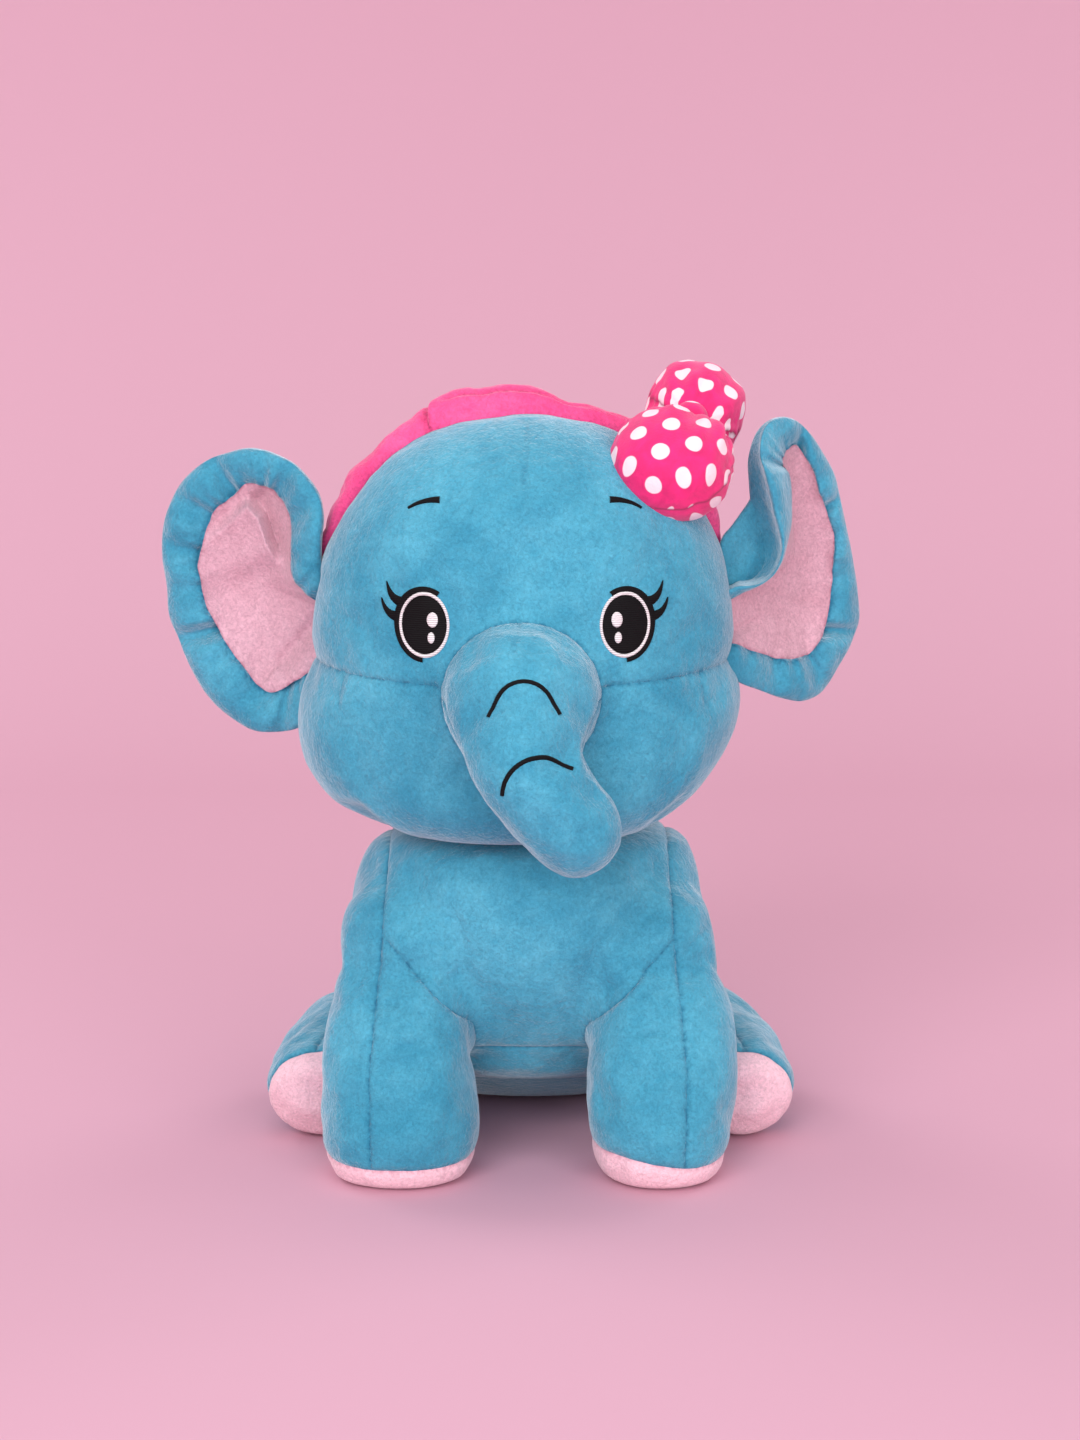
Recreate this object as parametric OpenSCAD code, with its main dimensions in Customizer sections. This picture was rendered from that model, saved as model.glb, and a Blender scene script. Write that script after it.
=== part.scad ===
// Sitting stuffed elephant: sewn plush panels over separate stuffings, with soft joints where they meet.
// X runs to the elephant's left, Y to its back and Z up. The floor is at Z = 0.

/* [Head] */
// Width across the cheeks
head_w = 226; // [216:1:232]
// Height from the chin to the crown
head_h = 208; // [204:1:209]
// Depth from the face to the back of the head
head_d = 176; // [168:1:180]
// Height of the chin above the floor
chin_z = 166; // [165:1:168]

/* [Body] */
// Width across the flanks
body_w = 182; // [172:1:186]
// Height of the neck opening above the floor
neck_z = 163; // [161:1:164]
// Thickness of the plush fabric
fabric = 2; // [1.5:0.5:2.5]
// Gap between a fabric and the stuffing inside it
slack = 0.3; // [0.2:0.1:0.6]

/* [Legs] */
// Distance of a front foot's middle from the body's middle
foot_x = 65; // [64:1:68]
// Half width of a front foot
foot_r = 38; // [35:1:39]
// Distance of a hind foot's middle from the body's middle
hind_x = 110; // [109:1:113]

/* [Ears] */
// Height of an ear
ear_h = 147; // [136:1:150]
// Width of an ear
ear_w = 84; // [76:1:88]

/* [Trim] */
// Width of the headband
band_w = 32; // [26:1:34]
// Length of one bow loop
loop_l = 53; // [44:1:55]

/* [Hidden] */
$fn = 48;

// Moves the model so that the middle of its footprint box is the origin
frame_shift = [7.4, -6.4, 0];
blue = "deepskyblue";
pale_pink = "lightpink";
hot_pink = "hotpink";
fibre = "white";

// The stuffing starts this far under the outer surface
core = fabric + slack;
// The head sits a little to the right of the body's middle
head_x = -4;
// How square the sections are: 2 is an ellipse
head_squareness = 2.3;
body_squareness = 2.2;
neck = [0, 0, neck_z + 6];
neck_r = 23;
// The trunk's root is a ball that turns in a pocket of the head
trunk_pivot = [head_x, -80, 250];
trunk_ball = 37;
// A front leg ends in a ball that turns in a pocket of the torso
shoulder = [foot_x - 3, -30, 112];
shoulder_r = 33;
// Room round a ball in its pocket
joint_gap = 1.3;
// The hind legs lie flat against the torso at this distance from its middle
hip_plane = 82;

// Sections of the head as [height, half width, front, back], the first at the neck opening.
// They are drawn for the sizes in head_drawn, and head_w, head_h and head_d stretch them.
head_drawn = [226, 176, 208];
head_rows = [
  [6, 42, -38, 38], [1.5, 54, -50, 46], [1, 68, -64, 55], [7, 86, -76, 66], [20, 101, -84, 75],
  [38, 110, -85, 81], [56, 112.5, -85.5, 85], [70, 110, -85, 87], [84, 106, -85, 88], [106, 104, -83, 89],
  [130, 101.5, -80, 88], [150, 94, -75, 85], [166, 85, -66, 77], [183, 71, -53, 64], [195, 54, -38, 49],
  [204, 30, -20, 29], [207.5, 11, -6, 12], [208, 1.6, 1, 4]
];
head_scale = [head_w / head_drawn[0], head_d / head_drawn[1], head_h / head_drawn[2]];
// Sections of the torso as [height, half width, front, back], drawn for a width of 182 and a neck at 166
torso_drawn = [182, 166];
torso_rows = [
  [0, 48, 45, 96], [3, 58, 33, 105], [12, 68, 16, 113], [32, 77, -12, 120], [55, 79, -42, 120],
  [75, 81, -57, 114], [95, 87, -64, 104], [115, 91, -66, 92], [135, 88, -64, 77], [148, 82, -59, 65],
  [157, 72, -52, 55], [163, 57, -44, 46], [166, 42, -37, 38]
];
torso_scale = [body_w / torso_drawn[0], neck_z / torso_drawn[1]];
// Sections of a front leg as [height, sideways offset, middle in Y, share of foot_r, half depth]
leg_rows = [
  [0, 0, -70, 0.7, 25], [1.5, 0, -70, 0.84, 30], [6, 0, -70, 0.94, 33.5], [13, 0, -70, 1, 35.5],
  [30, 0, -69, 1.01, 35.5], [50, 0.5, -64, 0.97, 34], [70, 1, -56, 0.93, 32.5], [90, -0.5, -44, 0.88, 31.5],
  [103, -2, -35, 0.85, 31]
];

function mix(a, b, t) = a + (b - a) * t;
function unit(v) = v / norm(v);
// A smooth curve through rows of numbers: u runs from 0 to the last row's index
function along(rows, u) =
  let (n = len(rows) - 1, i = min(floor(u), n - 1), t = u - i,
       a = rows[max(i - 1, 0)], b = rows[i], c = rows[i + 1], d = rows[min(i + 2, n)])
  0.5 * ((2 * b) + (c - a) * t + (2 * a - 5 * b + 4 * c - d) * t * t + (3 * b - a - 3 * c + d) * t * t * t);
// The direction of a curve through rows at u
function heading(rows, u) =
  let (n = len(rows) - 1, a = along(rows, max(u - 0.05, 0)), b = along(rows, min(u + 0.05, n)))
  unit([b[0] - a[0], b[1] - a[1], b[2] - a[2]]);
// A point on a rounded section of half widths rx and ry
function signed_power(v, power) = sign(v) * pow(abs(v), power);
function section(rx, ry, angle, squareness) =
  [rx * signed_power(cos(angle), 2 / squareness), ry * signed_power(sin(angle), 2 / squareness)];
// Moves p towards the nearest point of the line from a to b
function sink(p, depth, a, b) =
  let (ab = b - a, t = max(0, min(1, (p - a) * ab / (ab * ab))), q = a + ab * t) p - depth * unit(p - q);

// Outer forms. Angle 0 is the elephant's left, 90 its back and 270 its front. Depth is how far a point
// lies inside the outer form, towards the form's bones: the line that each sink() names.
head_bone = [[head_x, 2, chin_z + 70], [head_x, 2, chin_z + 135]];
torso_bone = [[0, 58, 45], [0, 4, 120]];
leg_bone = [[foot_x, -70, 26], shoulder];
function head_point(u, angle, depth) =
  let (r = along(head_rows, u), y = (r[2] + r[3]) / 2 * head_scale[1], ry = (r[3] - r[2]) / 2 * head_scale[1],
       p = section(r[1] * head_scale[0], ry, angle, head_squareness))
  sink([head_x + p[0], y + p[1], chin_z + r[0] * head_scale[2]], depth, head_bone[0], head_bone[1]);
function torso_point(u, angle, depth) =
  let (r = along(torso_rows, u), p = section(r[1] * torso_scale[0], (r[3] - r[2]) / 2, angle, body_squareness))
  sink([p[0], (r[2] + r[3]) / 2 + p[1], r[0] * torso_scale[1]], depth, torso_bone[0], torso_bone[1]);
function leg_point(u, angle, depth) =
  let (r = along(leg_rows, u), p = section(r[3] * foot_r, r[4], angle, body_squareness))
  sink([foot_x + r[1] + p[0], r[2] + p[1], r[0]], depth, leg_bone[0], leg_bone[1]);
// A front leg goes on above its last section as a ball round the shoulder, in steps of latitude
function shoulder_point(latitude, angle, depth) =
  let (p = section(cos(latitude), cos(latitude), angle, 2))
  shoulder + (shoulder_r - depth) * [p[0], p[1], sin(latitude)];
// A round limb along a curve of [x, y, z, half width, half height]. Angle 0 is the elephant's left.
least_r = 0.4;
function limb_point(rows, u, angle, depth) =
  let (r = along(rows, u), d = heading(rows, u), side = unit([1, 0, 0] - d[0] * d), up = cross(side, d))
  [r[0], r[1], r[2]] + side * max(r[3] - depth, least_r) * cos(angle)
    + up * max(r[4] - depth, least_r) * sin(angle);

trunk_rows = [
  [head_x, -57, 272, 11, 11], [head_x, -61, 268, 22, 22], [head_x, -69, 260.5, 32, 32],
  [head_x, -79, 251, 36.5, 35], [head_x, -91, 240.5, 35, 31],
  [head_x + 1, -104.5, 228.5, 30, 24], [head_x + 3, -112.5, 216.5, 26, 20.5],
  [head_x + 9, -114, 205, 24, 21], [head_x + 17, -114, 193.5, 23, 21], [head_x + 26, -113, 183, 22, 20.5],
  [head_x + 33, -112, 174.5, 17.5, 17], [head_x + 37.5, -111.5, 169, 10, 10],
  [head_x + 39.5, -111.5, 166.3, 1.6, 1.6]
];
hind_rows = [
  [hind_x + 2, -25, 27, 15, 14], [hind_x + 1.5, -22, 27.5, 23, 22.5], [hind_x, -12, 28.5, 28, 28],
  [hind_x - 4, 10, 31, 30, 31], [hind_x - 11, 35, 34.5, 32, 34.5], [hind_x - 18, 60, 36, 30, 36],
  [hind_x - 23, 80, 36, 22, 30], [hind_x - 26, 92, 36, 10, 13], [hind_x - 26.5, 94, 36, 1.6, 1.6]
];
tail_rows = [
  [0, 124.5, 58, 1.6, 1.6], [0, 125.5, 57, 6, 5.5], [0, 128.5, 54, 8, 7.5], [0, 134, 46, 9, 8],
  [0, 138, 36, 8.5, 7.5],
  [0, 140, 26, 8, 7], [0, 141, 17, 8, 7], [0, 141, 11, 5, 5], [0, 141, 9, 1.6, 1.6]
];

// Turns every face of a solid round if they look inwards
function signed_volume(points, faces) =
  let (parts = [for (f = faces) for (k = [1:len(f) - 2]) cross(points[f[k]], points[f[k + 1]]) * points[f[0]]])
  parts * [for (v = parts) 1];
function facing_out(points, faces) = signed_volume(points, faces) < 0 ? faces
  : [for (f = faces) [for (k = [len(f) - 1:-1:0]) f[k]]];
module solid(points, faces) polyhedron(points, facing_out(points, faces));

// Joins two grids of points, an outside and an inside, into one thin solid. A closed grid runs all the
// way round.
// A capped grid's first ring is flat, and both its sides are filled across.
module shell(outer, inner, closed = false, capped = false) {
  m = len(outer);
  n = len(outer[0]);
  k = m * n;
  last = closed ? n - 1 : n - 2;
  skin = [for (i = [0:m - 2]) for (j = [0:last])
    [i * n + j, i * n + (j + 1) % n, (i + 1) * n + (j + 1) % n, (i + 1) * n + j]];
  lining = [for (f = skin) [f[3] + k, f[2] + k, f[1] + k, f[0] + k]];
  far_edge = [for (j = [0:last]) let (a = (m - 1) * n + j, b = (m - 1) * n + (j + 1) % n) [a, b, b + k, a + k]];
  near_edge = capped ? [[for (j = [n - 1:-1:0]) j], [for (j = [0:n - 1]) j + k]]
    : [for (j = [0:last]) let (a = j, b = (j + 1) % n) [a, a + k, b + k, b]];
  sides = closed ? [] : [for (i = [0:m - 2]) for (f = [
      [i * n, (i + 1) * n, (i + 1) * n + k, i * n + k],
      [i * n + n - 1, i * n + n - 1 + k, (i + 1) * n + n - 1 + k, (i + 1) * n + n - 1]]) f];
  solid([for (g = [outer, inner]) for (row = g) for (p = row) p],
    concat(skin, lining, far_edge, near_edge, sides));
}

// Fills a stack of closed rings
module stack(rings) {
  m = len(rings);
  n = len(rings[0]);
  solid([for (r = rings) for (p = r) p], concat(
    [[for (j = [n - 1:-1:0]) j]],
    [[for (j = [0:n - 1]) (m - 1) * n + j]],
    [for (i = [0:m - 2]) for (j = [0:n - 1])
      [i * n + j, i * n + (j + 1) % n, (i + 1) * n + (j + 1) % n, (i + 1) * n + j]]));
}

// The numbers from a to b in equal steps
function steps(a, b, count) = [for (i = [0:count]) mix(a, b, i / count)];
function turn(count) = [for (j = [0:count - 1]) 360 * j / count];
function grid(form, us, angles, depth) = [for (u = us) [for (a = angles) form(u, a, depth)]];
module sewn(form, us, angles, closed = false, capped = false)
  shell(grid(form, us, angles, 0), grid(form, us, angles, fabric), closed, capped);
module stuffed(form, us, angles, depth = core) stack(grid(form, us, angles, depth));
module mirrored(side) scale([side, 1, 1]) children();

// Head
head_form = function (u, a, d) head_point(u, a, d);
head_top = len(head_rows) - 1;
cheek_seam = 8;
// Room in the head for the trunk's root and the neck
module head_pockets() {
  translate(trunk_pivot) sphere(trunk_ball + joint_gap);
  translate(neck) sphere(neck_r + joint_gap);
}
module face_panel() color(blue)
  difference() {
    sewn(head_form, steps(cheek_seam, head_top, head_top - cheek_seam), steps(180, 360, 16));
    head_pockets();
  }
module cheek_panel() color(blue)
  difference() {
    sewn(head_form, steps(0, cheek_seam, cheek_seam), steps(180, 360, 16));
    head_pockets();
  }
module head_back_panel() color(blue)
  difference() {
    sewn(head_form, steps(0, head_top, head_top), steps(0, 180, 16));
    head_pockets();
  }
module head_stuffing() color(fibre)
  difference() {
    stuffed(head_form, steps(0, head_top, head_top), turn(32));
    head_pockets();
  }
module neck_stuffing() color(fibre) translate(neck) sphere(neck_r);

// Embroidery on the face. face_y is where the head's front is at a place seen from the front.
function row_at(z, i = 1) =
  let (low = chin_z + head_rows[i][0] * head_scale[2], high = chin_z + head_rows[i + 1][0] * head_scale[2])
  z <= high || i >= head_top - 1 ? i + (z - low) / (high - low) : row_at(z, i + 1);
first_face_row = 3;
face_edge = 0.98;
function face_y(x, z) =
  let (r = along(head_rows, row_at(z, first_face_row)), ry = (r[3] - r[2]) / 2 * head_scale[1],
       across = min(abs(x - head_x) / (r[1] * head_scale[0]), face_edge))
  (r[2] + r[3]) / 2 * head_scale[1] - ry * pow(1 - pow(across, head_squareness), 1 / head_squareness);
// A raised patch of thread on the face between two shares of an oval's radii, from one angle to another.
// It starts lift over the fabric, and narrows towards its ends by the power taper.
thread_gap = 0.3;
thread_h = 0.9;
solid_patch = 0.08;
module thread(centre, radii, inner, outer, from, to, lift = 0, taper = 0) {
  whole = to - from >= 360;
  angles = whole ? turn(16) : steps(from, to, 8);
  function width(a) = taper == 0 ? 1 : pow(max(0.05, sin(180 * (a - from) / (to - from))), taper);
  function place(a, r, h) =
    let (x = centre[0] + radii[0] * r * cos(a), z = centre[1] + radii[1] * r * sin(a)) [x, face_y(x, z) - h, z];
  function layer(h) = [for (r = steps(inner, outer, inner == solid_patch ? 2 : 1))
    [for (a = angles) place(a, mix((inner + outer) / 2, r, width(a)), h)]];
  shell(layer(lift + thread_h), layer(lift + thread_gap), whole);
}
// Eyes and brows on one side: 1 is the elephant's left, -1 its right
eye_middle = -2.5;
function eye_centre(side) = [eye_middle + side * 48.5, 279];
pupil = [10.9, 14.2];
lash_oval = [13.9, 17.6];
lash_hair = [4.2, 7.5];
// An arc that is drawn on the left side, turned round for the right side
function arc(side, from, to) = side > 0 ? [from, to] : [180 - to, 180 - from];
module arc_thread(side, centre, radii, inner, outer, ends, taper)
  thread(centre, radii, inner, outer, arc(side, ends[0], ends[1])[0], arc(side, ends[0], ends[1])[1], 0, taper);
module eye_black(side) color("black") {
  thread(eye_centre(side), pupil, solid_patch, 1, 0, 360);
  arc_thread(side, eye_centre(side), lash_oval, 0.97, 1.13, [-70, 110], 0.4);
  for (hair = [[20.5, 6.2], [20.5, 13]])
    arc_thread(side, eye_centre(side) + [side * hair[0], hair[1]], lash_hair, 0.8, 1.25, [-75, 15], 0.8);
}
module eye_white(side) color("white") {
  thread(eye_centre(side), pupil, 1.02, 1.17, 0, 360);
  thread(eye_centre(side) + [-side * 4.2, 2.5], [2.5, 3.6], solid_patch, 1, 0, 360, thread_h);
  thread(eye_centre(side) + [-side * 3.6, -6.2], [1.5, 2.6], solid_patch, 1, 0, 360, thread_h);
}
module brow(side) color("black")
  arc_thread(side, [eye_middle + side * 42, 317], [24, 21], 0.95, 1.07, [52, 92], 0.5);

// Trunk, with a seam along each side
trunk_form = function (u, a, d) limb_point(trunk_rows, u, a, d);
trunk_end = len(trunk_rows) - 1;
module trunk_front_panel() color(blue)
  sewn(trunk_form, steps(0, trunk_end, trunk_end), steps(180, 360, 10));
module trunk_under_panel() color(blue)
  sewn(trunk_form, steps(0, trunk_end, trunk_end), steps(0, 180, 10));
module trunk_stuffing() color(fibre)
  stuffed(trunk_form, steps(0, trunk_end, trunk_end), turn(20));
// A line of thread across the front of the trunk: its ends curve down and narrow
crease_half_w = 0.12;
crease_sag = 0.75;
crease_taper = 0.8;
module trunk_crease(u, half_angle) {
  angles = steps(270 - half_angle, 270 + half_angle, 10);
  function across(a, w) =
    let (t = pow((a - 270) / half_angle, 2)) u + crease_sag * t + w * (1 - crease_taper * t);
  function layer(h) =
    [for (w = [-crease_half_w, crease_half_w]) [for (a = angles) trunk_form(across(a, w), a, -h)]];
  color("black") shell(layer(thread_h), layer(thread_gap));
}

// Ears: a dished pad in its own frame, whose face looks to -Y
ear_dish = 15;
ear_thick = 6.5;
ear_seam = 38;
ear_back_rings = [-88, -70, -50, -30, -10, 10, 26, ear_seam];
ear_front_rings = [88, 68, 52, ear_seam];
ear_all_rings = concat(ear_back_rings, [52, 68, 88]);
function ear_point(u, angle, depth) =
  let (x = (ear_w / 2 - depth) * cos(u) * cos(angle), z = (ear_h / 2 - depth) * cos(u) * sin(angle),
       out = pow(2 * x / ear_w, 2) + pow(2 * z / ear_h, 2))
  [x, -(ear_thick - depth) * sin(u) - ear_dish * out, z];
module ear_back() color(blue)
  sewn(ear_form, ear_back_rings, turn(20), closed = true, capped = true);
module ear_lining() color(pale_pink)
  sewn(ear_form, ear_front_rings, turn(20), closed = true, capped = true);
module ear_wadding() color(fibre)
  stack(grid(ear_form, ear_all_rings, turn(20), core + slack));
ear_form = function (u, a, d) ear_point(u, a, d);
// Places an ear on one side of the head: its middle, how far it turns back and how far it leans
module ear_at(middle, swing, lean) translate(middle) rotate([0, lean, swing]) children();
module left_ear() ear_at([head_x + 140, 20, 300], 40, 5) children();
module right_ear() ear_at([head_x - 144, 12, 285], -20, -6) children();

// Headband: half of its path over the head, from an end to the crown, as [sideways, height, half thickness].
// Its front edge lies lower than its back edge where it crosses the crown.
band_y = -5;
band_lean = 0.4;
band_rows = [[102, 306, 2.5], [99.5, 320, 3], [92, 337, 3.5], [81.5, 353, 4], [66.5, 367, 4.5], [48, 377, 4.5],
  [25, 382, 4.5], [0, 384, 4.5]];
band_squareness = 2.6;
band_path = concat(band_rows,
  [for (i = [len(band_rows) - 2:-1:0]) [-band_rows[i][0], band_rows[i][1], band_rows[i][2]]]);
function band_point(u, angle, depth) =
  let (r = along(band_path, u), n = len(band_path) - 1,
       e = along(band_path, min(u + 0.1, n)) - along(band_path, max(u - 0.1, 0)),
       out = unit([e[1], 0, -e[0]]), back = unit([0, 1, 0] + band_lean * abs(out[2]) * out),
       p = section(band_w / 2 - depth, r[2] - depth, angle, band_squareness))
  [head_x + r[0], band_y, r[1]] + back * p[0] + unit(cross(back, cross(out, back))) * p[1];
band_form = function (u, a, d) band_point(u, a, d);
band_end = len(band_path) - 1;
band_skin = 1.2;
band_core = band_skin + slack;
module headband_cover() color(hot_pink) {
  us = steps(0, band_end, 20);
  shell(grid(band_form, us, turn(10), 0), grid(band_form, us, turn(10), band_skin), closed = true);
}
module headband_wadding() color(fibre)
  stack(grid(band_form, steps(0, band_end, 20), turn(10), band_core));

// Bow: two stuffed loops that leave a knot on top of the headband. Each loop is drawn along its own X as
// [distance from the knot, half width, half thickness].
bow_place = [head_x + 84, -14, 374];
knot_turn = [0, -30, 72];
front_loop_turn = [-32, 34, -108];
rear_loop_turn = [12, -14, 78];
loop_rows = [[4, 6, 4], [9, 8, 5.5], [16, 20, 11], [26, 29, 15], [38, 31, 15.5], [47, 25, 13], [52, 13, 7.5],
  [54, 1.6, 1.6]];
loop_skin = 1.2;
loop_core = loop_skin + 0.2;
loop_drawn = 50;
loop_far_half = 30;
function loop_point(u, angle, depth) =
  let (r = along(loop_rows, u), inset = r[0] > loop_far_half ? depth : 0)
  [r[0] * loop_l / loop_drawn - inset, max(r[1] - depth, least_r) * cos(angle),
    max(r[2] - depth, least_r) * sin(angle)];
loop_form = function (u, a, d) loop_point(u, a, d);
loop_end = len(loop_rows) - 1;
module bow_loop() color("deeppink") {
  us = steps(0, loop_end, 9);
  shell(grid(loop_form, us, turn(16), 0), grid(loop_form, us, turn(16), loop_skin), closed = true);
}
module bow_stuffing() color(fibre)
  stack(grid(loop_form, steps(0, loop_end, 9), turn(16), loop_core));
knot_r = 10.2;
knot_w = 12;
knot_skin = 0.6;
knot_edge_r = 1.4;
module bow_knot() color("deeppink")
  rotate([0, 90, 0]) rotate_extrude() translate([knot_r, 0])
    offset(knot_edge_r) square([knot_skin, knot_w], center = true);
module bow_at(turned) translate(bow_place) rotate(turned) children();

// Front legs
leg_form = function (u, a, d) leg_point(u, a, d);
ball_form = function (u, a, d) shoulder_point(u, a, d);
leg_end = len(leg_rows) - 1;
sole_seam = 3;
ball_from = -8;
ball_to = 84;
// All the rings of a leg above its sole, at one depth
function leg_grid(angles, depth) = concat(
  grid(leg_form, steps(sole_seam, leg_end, leg_end - sole_seam), angles, depth),
  grid(ball_form, steps(ball_from, ball_to, 5), angles, depth));
module leg_panel(from, to) color(blue) {
  angles = steps(from, to, (to - from) / 18);
  shell(leg_grid(angles, 0), leg_grid(angles, fabric));
}
module front_leg_outer() leg_panel(-72, 90);
module front_leg_inner() leg_panel(90, 288);
module front_sole() color(pale_pink)
  sewn(leg_form, [0, 1, 2, sole_seam], turn(20), closed = true, capped = true);
module front_leg_stuffing() color(fibre)
  stack(concat(grid(leg_form, [0, 1, 2], turn(20), core), leg_grid(turn(20), core)));

// Room that a front leg needs in the torso over its whole swing
leg_side_gap = 2.5;
leg_room_w = 100;
module leg_room() {
  translate(shoulder) sphere(shoulder_r + joint_gap);
  translate([foot_x - foot_r - leg_side_gap, 0, 0]) rotate([90, 0, 90]) linear_extrude(leg_room_w)
    polygon([[-200, 120], [-200, -10], [-25, -10], [-24, 45], [-16, 70], [-2, 95], [9, 112], [-30, 120]]);
}

// Torso
torso_form = function (u, a, d) torso_point(u, a, d);
torso_top = len(torso_rows) - 1;
seat_seam = 3;
module torso_cut(both = false) difference() {
  children();
  leg_room();
  if (both) mirrored(-1) leg_room();
}
module chest_panel() color(blue)
  torso_cut(true) sewn(torso_form, steps(seat_seam, torso_top, torso_top - seat_seam), steps(225, 315, 8));
module side_panel() color(blue)
  torso_cut() sewn(torso_form, steps(seat_seam, torso_top, torso_top - seat_seam), steps(-45, 67.5, 10));
module back_panel() color(blue)
  sewn(torso_form, steps(seat_seam, torso_top, torso_top - seat_seam), steps(67.5, 112.5, 4));
module seat_panel() color(blue)
  sewn(torso_form, steps(0, seat_seam, 3), turn(32), closed = true, capped = true);
module torso_stuffing() color(fibre)
  difference() {
    torso_cut(true) stuffed(torso_form, steps(0, torso_top, torso_top), turn(32), core + slack);
    translate(neck) sphere(neck_r + joint_gap);
  }

// Hind legs, flat where they lie against the torso
hind_form = function (u, a, d) limb_point(hind_rows, u, a, d);
hind_end = len(hind_rows) - 1;
hind_sole_seam = 2;
module outside_hip(depth = 0) intersection() {
  children();
  translate([hip_plane + depth, -100, -50]) cube([200, 300, 200]);
}
module hind_leg_outer() color(blue) outside_hip()
  sewn(hind_form, steps(hind_sole_seam, hind_end, hind_end - hind_sole_seam), steps(-90, 90, 10));
module hind_leg_inner() color(blue) outside_hip()
  sewn(hind_form, steps(hind_sole_seam, hind_end, hind_end - hind_sole_seam), steps(90, 270, 10));
module hind_sole() color(pale_pink)
  sewn(hind_form, steps(0, hind_sole_seam, 2), turn(20), closed = true, capped = true);
module hind_leg_stuffing() color(fibre) outside_hip(slack)
  stuffed(hind_form, steps(0, hind_end, hind_end), turn(20));

// Tail
tail_form = function (u, a, d) limb_point(tail_rows, u, a, d);
tail_end = len(tail_rows) - 1;
tail_skin = 1.5;
tail_core = 1.8;
tail_end_room = 0.8;
module tail_cover() color(blue)
  shell(grid(tail_form, steps(0, tail_end, 10), turn(12), 0),
    grid(tail_form, steps(0, tail_end, 10), turn(12), tail_skin), closed = true);
module tail_stuffing() color(fibre)
  stack(grid(tail_form, steps(tail_end_room, tail_end - tail_end_room, 8), turn(12), tail_core));

translate(frame_shift) {
  chest_panel();
  side_panel();  // side_panel_left
  mirrored(-1) side_panel();  // side_panel_right
  back_panel();
  seat_panel();
  torso_stuffing();
  neck_stuffing();
  face_panel();
  cheek_panel();
  head_back_panel();
  head_stuffing();
  eye_black(1);  // eye_black_left
  eye_black(-1);  // eye_black_right
  eye_white(1);  // eye_white_left
  eye_white(-1);  // eye_white_right
  brow(1);  // brow_left
  brow(-1);  // brow_right
  trunk_front_panel();
  trunk_under_panel();
  trunk_stuffing();
  trunk_crease(4.5, 34);  // trunk_crease_upper
  trunk_crease(6.05, 44);  // trunk_crease_lower
  left_ear() ear_back();  // ear_back_left
  left_ear() ear_lining();  // ear_lining_left
  left_ear() ear_wadding();  // ear_wadding_left
  right_ear() ear_back();  // ear_back_right
  right_ear() ear_lining();  // ear_lining_right
  right_ear() ear_wadding();  // ear_wadding_right
  headband_cover();
  headband_wadding();
  bow_at(front_loop_turn) bow_loop();  // bow_loop_front
  bow_at(rear_loop_turn) bow_loop();  // bow_loop_rear
  bow_at(knot_turn) bow_knot();
  bow_at(front_loop_turn) bow_stuffing();  // bow_stuffing_front
  bow_at(rear_loop_turn) bow_stuffing();  // bow_stuffing_rear
  front_leg_outer();  // front_leg_outer_left
  front_leg_inner();  // front_leg_inner_left
  front_sole();  // front_sole_left
  front_leg_stuffing();  // front_leg_stuffing_left
  mirrored(-1) front_leg_outer();  // front_leg_outer_right
  mirrored(-1) front_leg_inner();  // front_leg_inner_right
  mirrored(-1) front_sole();  // front_sole_right
  mirrored(-1) front_leg_stuffing();  // front_leg_stuffing_right
  hind_leg_outer();  // hind_leg_outer_left
  hind_leg_inner();  // hind_leg_inner_left
  hind_sole();  // hind_sole_left
  hind_leg_stuffing();  // hind_leg_stuffing_left
  mirrored(-1) hind_leg_outer();  // hind_leg_outer_right
  mirrored(-1) hind_leg_inner();  // hind_leg_inner_right
  mirrored(-1) hind_sole();  // hind_sole_right
  mirrored(-1) hind_leg_stuffing();  // hind_leg_stuffing_right
  tail_cover();
  tail_stuffing();
}
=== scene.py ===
"""A sitting plush elephant with a headband and a dotted bow.

Sizes are millimetres in the toy's own frame, where the neck ball is at (0, 0, 169) and the toy looks
towards -Y. Its left is +X. Meshes are made in metres at the frame's place.
"""

import math

import bpy
import numpy as np
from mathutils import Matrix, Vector, noise
from mathutils.bvhtree import BVHTree
from mathutils.kdtree import KDTree


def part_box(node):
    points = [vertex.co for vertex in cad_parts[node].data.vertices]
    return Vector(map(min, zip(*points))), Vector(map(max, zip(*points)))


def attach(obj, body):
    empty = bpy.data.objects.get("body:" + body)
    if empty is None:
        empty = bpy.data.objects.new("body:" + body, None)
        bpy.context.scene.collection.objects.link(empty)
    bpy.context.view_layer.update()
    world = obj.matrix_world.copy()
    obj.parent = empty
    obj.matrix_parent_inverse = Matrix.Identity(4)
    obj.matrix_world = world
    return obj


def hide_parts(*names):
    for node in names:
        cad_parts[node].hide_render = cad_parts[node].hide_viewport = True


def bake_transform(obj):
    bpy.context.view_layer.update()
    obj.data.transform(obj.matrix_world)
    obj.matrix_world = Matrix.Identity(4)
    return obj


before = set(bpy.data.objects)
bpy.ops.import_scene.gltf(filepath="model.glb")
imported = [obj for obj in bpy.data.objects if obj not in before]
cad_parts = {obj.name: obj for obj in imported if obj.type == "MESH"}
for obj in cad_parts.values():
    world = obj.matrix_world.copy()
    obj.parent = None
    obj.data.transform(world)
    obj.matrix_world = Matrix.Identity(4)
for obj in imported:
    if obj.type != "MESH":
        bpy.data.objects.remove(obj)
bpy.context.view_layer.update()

scene = bpy.context.scene

MM = 0.001
neck_lo, neck_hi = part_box("neck_stuffing")
SHIFT = np.array((neck_lo + neck_hi) / 2) / MM - np.array([0, 0, 169])

# ---------------------------------------------------------------- numbers of the toy

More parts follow.
